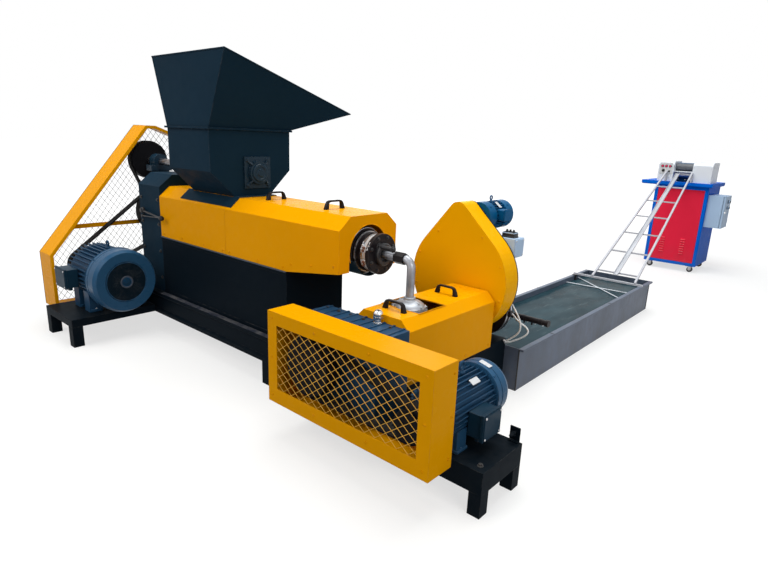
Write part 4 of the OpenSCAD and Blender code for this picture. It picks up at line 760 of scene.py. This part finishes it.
for k, x in enumerate(spaced(HOPPER_X[0] + 24, HOPPER_X[1] - 24, 4)):
    for y in (HOPPER_Y[0] - FLANGE_OUT, HOPPER_Y[1] + FLANGE_OUT):
        h.bolt(P(x, y, FLANGE_Z), -Z, FLANGE_BOLT_R, k)
for k, y in enumerate(spaced(-250, 250, 4)):
    for x in (HOPPER_X[0] - FLANGE_OUT, HOPPER_X[1] + FLANGE_OUT):
        h.bolt(P(x, y, FLANGE_Z), -Z, FLANGE_BOLT_R, k)
h.make("hopper_flange_bolts", "hopper_paint")

# Feeder bearing on the near end of the chamber
BEARING_HALF = 78 * MM
BEARING_BOLT_R = 11 * MM
BOSS_R = 72 * MM
CAP_OUT = 26 * MM
RIB_R = 8 * MM
RIB_IN, RIB_OUT = 0.70, 0.30
BOSS_RINGS = ((0, 5, 10), (13, 3, 6))
BEARING_CAP = mm((57.6, -1), (57.6, 6), (53.28, 10), (39.6, 10), (36, 7), (24.48, 7), (21.6, 12), (0, 12))
NIPPLE = mm((6, 0), (6, 6), (4, 8), (4, 13), (6, 15), (3, 20))
face = P(-1329, 30, 1250)
for a, b in CORNERS:
    spread = Y * a + Z * b
    corner = face + spread * BEARING_HALF
    g.bolt(corner, X, BEARING_BOLT_R, a + b)
    inner = face + spread * BOSS_R * RIB_IN
    h.tube([inner + X * 20 * MM, corner.lerp(inner, RIB_OUT) + X * 3 * MM], RIB_R)
for start, wide, deep in BOSS_RINGS:
    h.band(face + X * start * MM, X, BOSS_R - MM, BOSS_R + wide * MM, deep * MM, 48)
h.lathe(face + X * CAP_OUT, X, BEARING_CAP, 40)
p, d = on_cylinder(face, X, BOSS_R, 20 * MM, -40)
h.lathe(p, d, NIPPLE, 12)
h.make("bearing_ribs", "bearing_paint")
g.make("bearing_bolts", "bearing_paint")

# End of the main barrel: jacket, tray, heater straps, terminals and flange bolts
BARREL = P(0, 0, 900)
JACKET = ((-700, 104, 132, 372), (-330, 100, 124, 6), (-326, 99, 107, 56))
STRAP_X = (-266, -222)
STRAP_W = 14
CLASP_HALF = V(7, 7, 7)
POST = mm((7.5, 0), (7.5, 6), (5, 8), (5, 10), (2.5, 11), (2.5, 16), (0, 16))
POST_OUT = 8 * MM


def at_barrel(x):
    return BARREL + X * x * MM


def barrel_band(heap, x, r0, r1, width, **part):
    heap.band(at_barrel(x), X, r0 * MM, r1 * MM, width * MM, **part)


for ring in JACKET:
    barrel_band(h, *ring)
h.make("barrel_jacket", "black_paint")
barrel_band(h, -640, 128, 133, 360, n=40, start=math.tau * 0.30, sweep=math.tau * 0.40)
h.make("barrel_tray", "hopper_paint")
barrel_band(h, -306, 106, 112, 8)
h.hoop(at_barrel(-322), X, 126 * MM, 2.5 * MM, 64)
for x in STRAP_X:
    barrel_band(h, x, 99.5, 102.5, STRAP_W)
    for degrees in (62, 242):
        p, out = on_cylinder(at_barrel(x + STRAP_W / 2), X, 103 * MM, 0.0, degrees)
        side = X.cross(out)
        h.box(p - CLASP_HALF, p + CLASP_HALF)
        pin = p + out * 4 * MM
        h.tube([pin - side * 24 * MM, pin + side * 24 * MM], 3.2 * MM)
        h.bolt(pin + side * 18 * MM, side, 5.5 * MM)
h.make("heater_straps", "zinc")
for p in around(at_barrel(-200), X, 92 * MM, 8, math.tau / 16):
    h.bolt(p, X, 8 * MM)
h.make("barrel_flange_bolts", "black_steel")
for degrees in (72, 112):
    p, out = on_cylinder(at_barrel(-240), X, 100.5 * MM, 0.0, degrees)
    h.plate(p, out, 34 * MM, 46 * MM, POST_OUT, 4 * MM, up=X)
    side = X.cross(out)
    for a in SIGNS:
        g.lathe(p + out * POST_OUT + side * a * 8 * MM, out, POST, 12)
h.make("heater_terminals", "plate_alu")
g.make("heater_posts", "ceramic")

# Fittings of the melt line
SENSOR_BACK = P(-200, -30, 945)
SENSOR_FRONT = P(-104, -30, 945)
MELT_RING = mm((62, 0), (62, 16), (56, 22), (40, 22), (40, 4))
h.tube([SENSOR_BACK, SENSOR_FRONT], 11 * MM, 14)
h.bolt(SENSOR_FRONT, X, 13 * MM)
h.bolt(SENSOR_BACK, X, 15 * MM)
h.lathe(at_barrel(-200), X, MELT_RING, 40)
h.make("melt_line_rings", "black_steel")

# Folded edge of the arch in the front cover
ARCH_R = 148 * MM
ARCH_WIRE = 2.8 * MM
ARCH_HALF = math.tau * 0.30
crown = at_barrel(-300.5)
arch = around(crown, X, ARCH_R, 40, -ARCH_HALF, ARCH_HALF * 2) + around(crown, X, ARCH_R, 1, ARCH_HALF)
h.tube(arch, ARCH_WIRE)
h.make("arch_edge", "cover_paint")

# Bow handles across both covers: broad feet that taper into a flat grip
BOW_HALF = [(-61, 0, 14, 13), (-61, 3, 14, 13), (-58, 18, 11.5, 12), (-55, 31, 9, 11.5), (-51, 39, 7.5, 11),
            (-43, 44, 6, 10.5), (-30, 45.5, 5.5, 10.5)]
BOW_SIDES = 20
BOW_SQUARE = 0.55


def squared(v):
    """Swells a sine or cosine, so that a round section gets flatter sides."""
    return math.copysign(abs(v) ** BOW_SQUARE, v)


def bow_handle(heap, foot, along):
    """Handle standing at foot and spanning along; each station has its place, depth and half width."""
    stations = BOW_HALF + [(-s, z, deep, wide) for s, z, deep, wide in reversed(BOW_HALF)]
    side = Z.cross(along)
    points = [foot + (along * s + Z * z) * MM for s, z, *_ in stations]
    verts = []
    for i, (*_, deep, wide) in enumerate(stations):
        run = (points[min(i + 1, len(points) - 1)] - points[max(i - 1, 0)]).normalized()
        out = side.cross(run)
        for k in range(BOW_SIDES):
            q = math.tau * k / BOW_SIDES
            step = out * squared(math.cos(q)) * deep + side * squared(math.sin(q)) * wide
            verts.append(points[i] + step * MM)
    heap.rings(verts, BOW_SIDES, len(stations))


main_top = box_of("main_cover_front")[1].z / MM
second_top = box_of("second_cover")[1].z / MM
for x in (-1100, -575):
    bow_handle(h, P(x, 0, main_top), Y)
for y in (-120, 330):
    bow_handle(h, P(0, y, second_top), X)
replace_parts(h.make("bow_handles", "black_paint", angle=50), "cover_handles")

# Second barrel seen through the opening in its cover: heater bands and their clamps
HEATER_Y = (-64, -8, 96, 146)
HEATER_R = 74.5 * MM
HEATER_OUT = 78.5 * MM
CLAMP_OUT = 80.5 * MM
for y in HEATER_Y:
    h.band(P(0, y - 18, AXIS_Z), Y, HEATER_R, HEATER_OUT, 34 * MM, 56)
    for a in SIGNS:
        g.band(P(0, y + a * 10 - 3, AXIS_Z), Y, HEATER_OUT, CLAMP_OUT, 6 * MM, 56)
    p = P(0, y, AXIS_Z + 80)
    for x in (-30, 18):
        g.box(p + V(x, -12, -4), p + V(x + 12, 12, 10), 2 * MM)
    g.tube([p + V(-36, 0, 4), p + V(36, 0, 4)], 3 * MM)
h.make("second_heaters", "plate_alu")
g.make("second_heater_clamps", "zinc")

# Cast inlet dome on the second barrel, with its collar and clamp ring
DOME_R = 84 * MM
DOME_H = 44 * MM
NECK = ((31, 0), (31, 10), (28, 13), (22.5, 13))
NECK_BORE = 22.5 * MM
CLAMP_Z = Z * 6 * MM
CLAMP_R = DOME_R + MM
EAR = 16 * MM
inlet = P(0, 0, 0) + Z * box_of("second_barrel")[1].z
dome = [(DOME_R * math.cos(q), DOME_H * math.sin(q)) for q in (math.radians(d) for d in range(0, 70, 6))]
neck = [(r * MM, DOME_H + z * MM) for r, z in NECK]
h.lathe(inlet, Z, [(DOME_R, -2 * MM)] + dome + neck + [(NECK_BORE, 0.0)], 48)
for drop in (6, 26):
    h.band(inlet - Z * (drop + 12) * MM, Z, 91.5 * MM, 94.5 * MM, 12 * MM, 56)
for side in SIGNS:
    ridge = [inlet + X * side * r + Z * lift for r, lift in dome]
    h.tube(ridge, 4 * MM, 10)
    for k in (3, 7):
        h.bolt(ridge[k] - Y * 3 * MM, -Y, 6 * MM)
h.make("inlet_collar", "cast_alu")
h.hoop(inlet + CLAMP_Z, Z, CLAMP_R, 2.2 * MM, 56)
for p in around(inlet + CLAMP_Z, Z, CLAMP_R, 2, math.tau / 8):
    d = (p - inlet - CLAMP_Z).normalized().cross(Z)
    h.tube([p - d * EAR, p + d * EAR], 4 * MM, 10)
    h.bolt(p + d * EAR, d, 6 * MM)
h.make("inlet_clamp", "zinc")
h.loop([P(x, y, 660.5) for x, y in rectangle(-125, 125, -78, 150)], 2.4 * MM)
h.make("opening_edge", "cover_paint")

# Second gearbox: cover bolts and breather
GEAR_BOLT_R = 8 * MM
GEAR_TOP = 620
BREATHER_NUT = mm((26, 0), (26, 6), (20, 8), (20, 18))
BREATHER_CAP = mm((19, 17), (23, 20), (24, 36), (23, 40), (24, 44), (23, 56), (15, 66), (0, 69))
for k, x in enumerate(spaced(-350, 90, 6)):
    for y in (-426, -256):
        h.bolt(P(x, y, GEAR_TOP), Z, GEAR_BOLT_R, k)
for z, y in product((300, 420, 540), (-424, -238)):
    h.bolt(P(180, y, z), X, GEAR_BOLT_R, z)
h.make("second_gearbox_bolts", "black_steel")
oil = P(0, -242, GEAR_TOP)
h.lathe(oil, Z, BREATHER_NUT, 6)
h.lathe(oil, Z, BREATHER_CAP, 28)
for p in around(oil + Z * 30 * MM, Z, 23.6 * MM, 18):
    h.tube([p - Z * 6 * MM, p + Z * 6 * MM], 1.4 * MM, 6)
h.make("breather", "chrome")

# Main gearbox: bolts and the change lever
LEVER = P(-2430, -236, 902)
KNOB = P(-2105, -258, 882)
LEVER_DROP = Z * 42 * MM
LEVER_SEAT = Y * 14 * MM
SMALL_BOSS = mm((12, 0), (12, 16), (8, 20), (0, 20))
LARGE_BOSS = mm((22, 0), (22, 12), (16, 18), (16, 26), (0, 26))
GRIP = mm((10, 0), (16, 6), (19, 16), (17, 27), (10, 33), (0, 35))
gear_y = (box_of("main_gearbox")[0].y - origin.y) / MM
for z, x in product((420, 620, 820, 1000), (-2205, -2455)):
    h.bolt(P(x, gear_y, z), -Y, 10 * MM, z)
h.make("main_gearbox_bolts", "black_steel")
under = LEVER - LEVER_DROP
h.tube([LEVER, LEVER.lerp(KNOB, 0.5), KNOB], 6 * MM, 10)
h.tube([under, under.lerp(KNOB, 0.8), LEVER.lerp(KNOB, 0.9)], 4 * MM, 10)
h.lathe(under + LEVER_SEAT, -Y, SMALL_BOSS, 20)
h.lathe(LEVER + LEVER_SEAT, -Y, LARGE_BOSS, 20)
h.make("lever_rod", "black_steel")
d = (KNOB - LEVER).normalized()
h.lathe(KNOB - d * 4 * MM, d, GRIP, 20)
h.make("lever_knob", "black_plastic")

# Ledges on the plinth and rounded top rails on the cabinet, in lighter paint: painted highlights along
# these edges, with dust on the ledges
LEDGE_T = 1.2 * MM
RAIL_R = 4.5 * MM
RAIL_DROP = 3 * MM
plinth_low, plinth_high = box_of("base_plinth")
cabinet_low, cabinet_high = box_of("base_cabinet")
ends = (cabinet_low.x, cabinet_high.x)
for y0, y1, rail in ((plinth_low.y, cabinet_low.y, cabinet_low.y),
                     (cabinet_high.y, plinth_high.y, cabinet_high.y)):
    near = Vector((ends[0], y0, plinth_high.z))
    h.box(near, Vector((ends[1], y1, plinth_high.z + LEDGE_T)), LEDGE_T / 3)
    g.tube([Vector((x, rail, cabinet_high.z - RAIL_DROP)) for x in ends], RAIL_R, 10)
h.make("plinth_ledges", "ledge_highlight_paint")
g.make("cabinet_rails", "hub_grey_and_rail_highlight")

# Screws along the covers, the guards and the filter guard
COVER_SIDES = ((-224, -Y), (224, Y))
COVER_SCREW_Z = 762
COVER_SLOPE = 62 / 428
SLOPE_START = -728
BIG_SCREW_R = 7 * MM
SMALL_SCREW_R = 6 * MM
GUARD_FACE = -605
FILTER_SCREW_RING = 313 * MM
for x, (y, d) in product((-2130, -1880, -1600, -1370, -1300, -1000, -760), COVER_SIDES):
    h.screw(P(x, y, COVER_SCREW_Z), d, BIG_SCREW_R)
for x, (y, d) in product((-690, -520, -340), COVER_SIDES):
    h.screw(P(x, y, COVER_SCREW_Z + (x - SLOPE_START) * COVER_SLOPE + 20), d, BIG_SCREW_R)
for y, (x, d) in product((-190, 50, 300, 545), ((-175, -X), (175, X))):
    h.screw(P(x, y, 350), d, SMALL_SCREW_R)
h.make("cover_screws", "cover_paint")
for x, z in product((-367, -62, 274, 579), (231, 637)):
    h.screw(P(x, GUARD_FACE, z), -Y, SMALL_SCREW_R)
for x in (-367, 579):
    h.screw(P(x, GUARD_FACE, 434), -Y, SMALL_SCREW_R)
for z, (x, d) in product((240, 430, 620), ((612, X), (-400, -X))):
    h.screw(P(x, -470, z), d, SMALL_SCREW_R)
# Screws in the darkened guard yellow, painted shade
h.make("second_guard_screws", "shaded_guard_yellow")
for degrees in spaced(-150, 150, 9):
    q = math.radians(degrees) + math.pi
    h.screw(around(P(-108, 590, 690), -Y, FILTER_SCREW_RING, 1, q)[0], -Y, BIG_SCREW_R)
# Screws in the lightened filter yellow, painted light
h.make("filter_guard_screws", "lit_filter_yellow")

# Stand of the second motor: its bolts and the belt tensioner
STAND_Z = 213
TENSIONER = P(690, -118, STAND_Z)
for x in (220, 712):
    h.bolt(P(x, -380, STAND_Z), Z, 10 * MM, x)
h.make("stand_bolts", "black_steel")
h.box(TENSIONER, TENSIONER + V(50, 20, 6), MM)
h.box(TENSIONER + V(0, 14, 0), TENSIONER + V(50, 20, 70), MM)
h.tube([TENSIONER + V(25, -30, 45), TENSIONER + V(25, 34, 45)], 6 * MM, 10)
h.bolt(TENSIONER + V(25, -4, 45), -Y, 10 * MM)
h.make("belt_tensioner", "base_paint")

# Filter motor: cooling ribs between its end rings, fan grille, eye, junction box and a blank plate
FILTER_X, FILTER_Z = -85, 1058
RIBS = 28
RIB_ROOT = 74.5 * MM
RIB_TALL = 11.5 * MM
RIB_HALF = 2.2 * MM
RIB_TIP_HALF = 1.2 * MM
FILTER_CAP = mm((6, 0), (6, 3), (3, 5), (0, 5))


def filter_axis(y):
    return P(FILTER_X, y, FILTER_Z)


for k in range(RIBS):
    q = math.tau * k / RIBS
    out = Z * math.cos(q) + X * math.sin(q)
    side = Y.cross(out)
    section = [side * -RIB_HALF, side * RIB_HALF, side * RIB_TIP_HALF + out * RIB_TALL,
               side * -RIB_TIP_HALF + out * RIB_TALL]
    h.put([filter_axis(y) + out * RIB_ROOT + corner for y in (816, 940) for corner in section],
          [[0, 1, 2, 3], [7, 6, 5, 4], [0, 4, 5, 1], [1, 5, 6, 2], [2, 6, 7, 3], [3, 7, 4, 0]])
h.eye(filter_axis(877) + Z * 83 * MM, 15 * MM, X)
for y in (777, 979):
    for p in around(filter_axis(y), Y, 87.5 * MM, 4, math.tau / 8):
        h.lathe(p, p - filter_axis(y), FILTER_CAP, 12)
box = filter_axis(878) + V(60, 0, 10)
h.box(box + V(10, -40, -34), box + V(64, 40, 34), 4 * MM)
h.box(box + V(62, -43, -37), box + V(70, 43, 37), 3 * MM)
h.make("filter_motor_ribs", "teal_paint")
fan = filter_axis(1018)
for i in range(6):
    h.hoop(fan + Y * (6 - 0.9 * i) * MM, Y, (22 + 10 * i) * MM, 1.6 * MM, 40, 6)
for p in around(fan, Y, MM, 12):
    d = p - fan
    h.tube([fan + d * 14 + Y * 7 * MM, fan + d * 74 + Y * MM], 1.4 * MM, 6)
h.make("filter_fan_grille", "black_steel")
p, out = on_cylinder(filter_axis(878), Y, 86.5 * MM, 0.0, 38)
h.plate(p, out, 50 * MM, 26 * MM, RATING_T, RATING_CORNER, up=Y)
h.make("filter_motor_plate", "plate_alu")

# Filter control box: lid, screws and the switch block
LID = P(180, 793, 898)
SWITCHES = P(115, 793, 988)
SWITCH_PITCH = 22 * MM
SWITCH = mm((8.5, 0), (8.5, 4), (6, 5), (6, 10), (5, 12), (0, 12))
h.plate(LID, X, 102 * MM, 104 * MM, 5 * MM, 6 * MM)
h.make("filter_box_lid", "box_paint")
for a, b in CORNERS:
    h.screw(LID + V(5, a * 43, b * 44), X, 5 * MM)
h.make("filter_box_screws", "zinc")
h.plate(P(115, 793, 954.5), Z, 58 * MM, 86 * MM, 8 * MM, 5 * MM)
h.plate(P(115, 793, 955), Z, 53 * MM, 81 * MM, 32 * MM, 4 * MM)
for a in (-1, 0, 1):
    h.lathe(SWITCHES + X * a * SWITCH_PITCH, Z, SWITCH, 20)
h.make("filter_switches", "black_plastic")

# Die: straps round the drum, bolts on its face, and bands and nozzles on the strand die
DRUM_R = 171.5 * MM
DIE_Y, DIE_Z = 870, 456
NOZZLE_DROP = 17.5 * MM
NOZZLE = mm((5.5, 0), (5.5, 3), (3.5, 5), (1.8, 5), (1.8, 1))
NOZZLE_CLEAR = 60
for y in (742, 786):
    h.band(P(0, y, AXIS_Z), Y, DRUM_R, DRUM_R + 3 * MM, 12 * MM, 72)
for p in around(P(0, 804.5, AXIS_Z), Y, 150 * MM, 12, math.tau / 24):
    h.bolt(p, Y, 9 * MM)
h.make("die_straps", "zinc")
for x in (-340, -220, -100, 100, 220, 340):
    h.band(P(x - 12, DIE_Y, DIE_Z), X, 17.8 * MM, 19.5 * MM, 24 * MM, 32)
h.make("strand_die_bands", "black_paint")
for x in spaced(-352, 352, 15):
    if abs(x) > NOZZLE_CLEAR:
        h.lathe(P(x, DIE_Y, DIE_Z) - Z * NOZZLE_DROP, -Z, NOZZLE, 14)
h.make("die_nozzles", "chrome")

# Tank: rim joints, corner welds, two crossed rods and a stop
RIM_W = 28 * MM
RIM_Z = 280.3
ROD_R = 4 * MM
ROD_Z = 243
ROD_SEAT = ((1.2, -1), (1.9, 0), (1.9, 1), (1.2, 2))
STOP = P(-326, 2985, 200)
low, high = box_of("tank_sides")
for x0, y in product((low.x, high.x - RIM_W), (1211, 2260)):
    start = P(0, y, RIM_Z)
    start.x = x0
    h.tube([start, start + X * RIM_W], 2.2 * MM)
for x, y in product((-330, 260), (783, 3345)):
    h.tube([P(x, y, z) for z in spaced(3, 277, 13)], 4.5 * MM)
h.make("tank_welds", "black_steel")
for y0, y1 in ((2815, 2865), (3090, 2600)):
    rod = [P(-325, y0, ROD_Z), P(255, y1, ROD_Z)]
    h.tube(rod, ROD_R, 12)
    for end in rod:
        h.lathe(end, X, [(ROD_R * r, lift * MM) for r, lift in ROD_SEAT], 16)
h.make("tank_rods", "white_paint")
h.box(STOP, STOP + V(12, 30, 84), 2 * MM)
h.box(STOP + V(-28, 0, 81), STOP + V(12, 30, 86), MM)
h.make("tank_stop", "black_paint")

# Strand ladder: pins at both ends of its rails
PIN_R = 6 * MM
PIN_OUT = 9
for x0, x1, y, z in ((-310, -20, 5462, 1180), (-175, 219, 3042, 289)):
    h.bolt(P(x0 - PIN_OUT, y, z), -X, PIN_R)
    h.bolt(P(x1 + PIN_OUT, y, z), X, PIN_R)
h.make("ladder_pins", "zinc")

# Pelletizer: button plate with its buttons, switch and lamp
BUTTONS = P(-328, 5480, 1265)
BUTTON_OUT = -4
BUTTON_PITCH = 44
BUTTON = mm((13, 3), (13, 8), (11, 11), (0, 12))
BEZEL = mm((17.5, 0), (17.5, 3), (14, 5), (13, 5))
SELECTOR = mm((18, 0), (18, 4), (14, 6), (14, 12), (0, 12))
LAMP = mm((12, 0), (12, 4), (9, 6), (9, 9), (0, 9))
h.plate(BUTTONS, -Y, 150 * MM, 140 * MM, 4 * MM, 6 * MM)
h.make("button_plate", "plate_alu")
for k in (-1, 0, 1):
    p = BUTTONS + V(k * BUTTON_PITCH, BUTTON_OUT, 28)
    h.lathe(p, -Y, BUTTON)
    g.lathe(p, -Y, BEZEL)
h.make("buttons", "button_red")
p = BUTTONS + V(-30, BUTTON_OUT, -26)
g.lathe(p, -Y, SELECTOR)
g.box(p + V(-4, -22, -14), p + V(4, -10, 14), 2 * MM)
g.lathe(BUTTONS + V(40, BUTTON_OUT, -34), -Y, LAMP)
g.make("button_bezels", "black_plastic")

# Pelletizer: knife block, and the screws of the table, the panels and the housings
KNIFE_FACE = 5650
PANEL_SCREW_R = 5 * MM
LOUVRE_OUT = 9 * MM
LOUVRE_HALF = 26 * MM
LOUVRE_X = (-234, 0)
LOUVRE_LOW = 226
LOUVRE_PITCH = 30
HOUSING_X = (-417, 190)
h.box(P(-236, KNIFE_FACE, 1112), P(-30, 5722, 1338), 6 * MM)
h.box(P(-222, 5640, 1150), P(-44, 5652, 1170), 2 * MM)
h.make("knife_block", "teal_paint")
for x, z in product((-215, -133, -51), (1135, 1315)):
    h.bolt(P(x, KNIFE_FACE, z), -Y, 7 * MM, x)
h.make("knife_bolts", "zinc")

low, high = box_of("pelletizer_table")
for x in (low.x + 60 * MM, (low.x + high.x) / 2, high.x - 60 * MM):
    for y in (low.y + 30 * MM, high.y - 30 * MM):
        h.screw(Vector((x, y, high.z)), Z, BIG_SCREW_R)
h.make("table_screws", "zinc")

low, high = box_of("pelletizer_panels")
for z, x in product(spaced(low.z + 40 * MM, high.z - 40 * MM, 5), (low.x + 85 * MM, high.x - 85 * MM)):
    h.screw(Vector((x, low.y + LOUVRE_OUT, z)), -Y, PANEL_SCREW_R)
    h.screw(Vector((x, high.y - LOUVRE_OUT, z)), Y, PANEL_SCREW_R)
h.make("panel_screws", "red_paint")
# Louvre lips in a paler red: painted highlight along the louvres
for x in LOUVRE_X:
    for k in range(7):
        lip = P(x, 0, LOUVRE_LOW + LOUVRE_PITCH * k)
        lip.y = low.y
        h.tube([lip - X * LOUVRE_HALF, lip, lip + X * LOUVRE_HALF], 2 * MM)
h.make("louvre_lips", "highlight_red")

for x, z in product((-401, -256, -10, 174), (1134, 1295)):
    h.screw(P(x, 5480, z), -Y, SMALL_SCREW_R)
for y, z in product((5560, 5700, 5790), (1140, 1300)):
    h.screw(P(HOUSING_X[1], y, z), X, SMALL_SCREW_R)
    h.screw(P(HOUSING_X[0], y, z), -X, SMALL_SCREW_R)
h.make("housing_screws", "white_paint")

# Control door: pointer knobs, bezels and lock, carried by the door
DOOR_LOCK = P(379, 5560, 781)
LOCK = mm((13, 0), (13, 4), (10, 6), (10, 12), (8, 13), (0, 13))
for z in (905, 835):
    knob = P(399, 5690, z)
    h.box(knob + V(-2, -4, -15), knob + V(8, 4, 15), 2 * MM)
    h.band(P(379, 5690, z), X, 16.5 * MM, 22 * MM, 4 * MM, 32)
h.make("door_knobs", "black_plastic", "control_door")
h.lathe(DOOR_LOCK, X, LOCK)
h.box(DOOR_LOCK + V(12, -2, -8), DOOR_LOCK + V(16, 2, 8), 0.8 * MM)
h.make("door_lock", "chrome", "control_door")

# Casters: zinc fork plates, axle bolts and swivel bolts
CASTER_R = 34
CASTER_TOP = 77
CHEEK_OUT = 20.5
CHEEK_T = 2 * MM
SWIVEL_OUT = 36
for x, y in product((-356, 122), (5561, 6049)):
    for a in SIGNS:
        cheek = P(x, y + a * CHEEK_OUT, CASTER_R)
        h.plate(cheek + Z * 17 * MM, Y * a, 36 * MM, 52 * MM, CHEEK_T, 12 * MM)
        h.bolt(cheek + Y * a * CHEEK_T, Y * a, 9 * MM, a)
        for b in SIGNS:
            h.bolt(P(x + a * SWIVEL_OUT, y + b * SWIVEL_OUT, CASTER_TOP), -Z, 5 * MM, a)
h.make("caster_forks", "zinc")

# Floor: white where it is seen straight on or mirrored, and still holding the shadow
FLOOR_HALF = 60.0
FLOOR_Z = -0.5 * MM
FLOOR_GREY = 0.36
FLOOR_LIFT = 0.66
FLOOR_NEAR = 4.0
FLOOR_FAR = 8.0
mesh = bpy.data.meshes.new("floor")
corners = [(a * FLOOR_HALF, b * FLOOR_HALF, FLOOR_Z) for a, b in rectangle(-1, 1, -1, 1)]
mesh.from_pydata(corners, [], [[0, 1, 2, 3]])
floor = bpy.data.objects.new("floor", mesh)
bpy.context.scene.collection.objects.link(floor)


def seen_directly(t):
    """One for camera, mirror and glass rays, so that all of them see the same white."""
    rays = t.nodes.new("ShaderNodeLightPath")
    total = maths(t, "ADD", rays.outputs["Is Camera Ray"], rays.outputs["Is Glossy Ray"])
    total = maths(t, "ADD", total, rays.outputs["Is Transmission Ray"])
    return maths(t, "MINIMUM", total, 1.0)


m, t = tree("floor")
bs = add(t, "ShaderNodeBsdfPrincipled", Roughness=0.95, Base_Color=(FLOOR_GREY, FLOOR_GREY, FLOOR_GREY, 1),
         Specular_IOR_Level=0.0, Emission_Color=(1, 1, 1, 1))
reach = add(t, "ShaderNodeVectorMath", operation="LENGTH")
t.links.new(t.nodes.new("ShaderNodeTexCoord").outputs["Object"], reach.inputs[0])
lift = ramp(t, reach.outputs["Value"], FLOOR_NEAR, FLOOR_FAR, FLOOR_LIFT, 1.0)
t.links.new(times(t, seen_directly(t), lift), bs.inputs["Emission Strength"])
close(t, bs)
mesh.materials.append(m)

# World: white to look at, and a weaker cool light on the machine
WORLD_RGB = (0.93, 0.96, 1.0, 1)
WORLD_LIGHT = 0.28
world = bpy.data.worlds.new("world")
bpy.context.scene.world = world
world.use_nodes = True
t = world.node_tree
t.nodes.clear()
seen = add(t, "ShaderNodeBackground", Color=(1, 1, 1, 1), Strength=1.0)
lit = add(t, "ShaderNodeBackground", Color=WORLD_RGB, Strength=WORLD_LIGHT)
choose = t.nodes.new("ShaderNodeMixShader")
out = t.nodes.new("ShaderNodeOutputWorld")
t.links.new(seen_directly(t), choose.inputs[0])
t.links.new(lit.outputs[0], choose.inputs[1])
t.links.new(seen.outputs[0], choose.inputs[2])
t.links.new(choose.outputs[0], out.inputs["Surface"])


def area(name, at, to, size, power, colour=(1, 1, 1), spread=180):
    data = bpy.data.lights.new(name, "AREA")
    data.size = size
    data.energy = power
    data.spread = math.radians(spread)
    data.color = colour
    obj = bpy.data.objects.new(name, data)
    bpy.context.scene.collection.objects.link(obj)
    obj.location = at
    obj.rotation_mode = "QUATERNION"
    obj.rotation_quaternion = (Vector(to) - Vector(at)).to_track_quat("-Z", "Y")


area("key", (-2.5, -9.0, 7.0), (0.2, -1.8, 0.6), 5.0, 330, (1.0, 0.96, 0.90))
area("top", (0.2, -0.8, 8.0), (0.2, -0.4, 0.5), 6.0, 600, (0.98, 1.0, 0.97))
area("side", (8.0, -5.0, 4.0), (0.6, -1.8, 0.6), 4.0, 30, (1.0, 0.97, 0.92), 60)
area("far", (-5.0, 6.0, 5.0), (0.4, 2.0, 0.5), 4.0, 110)
bpy.context.scene.view_settings.view_transform = "Standard"
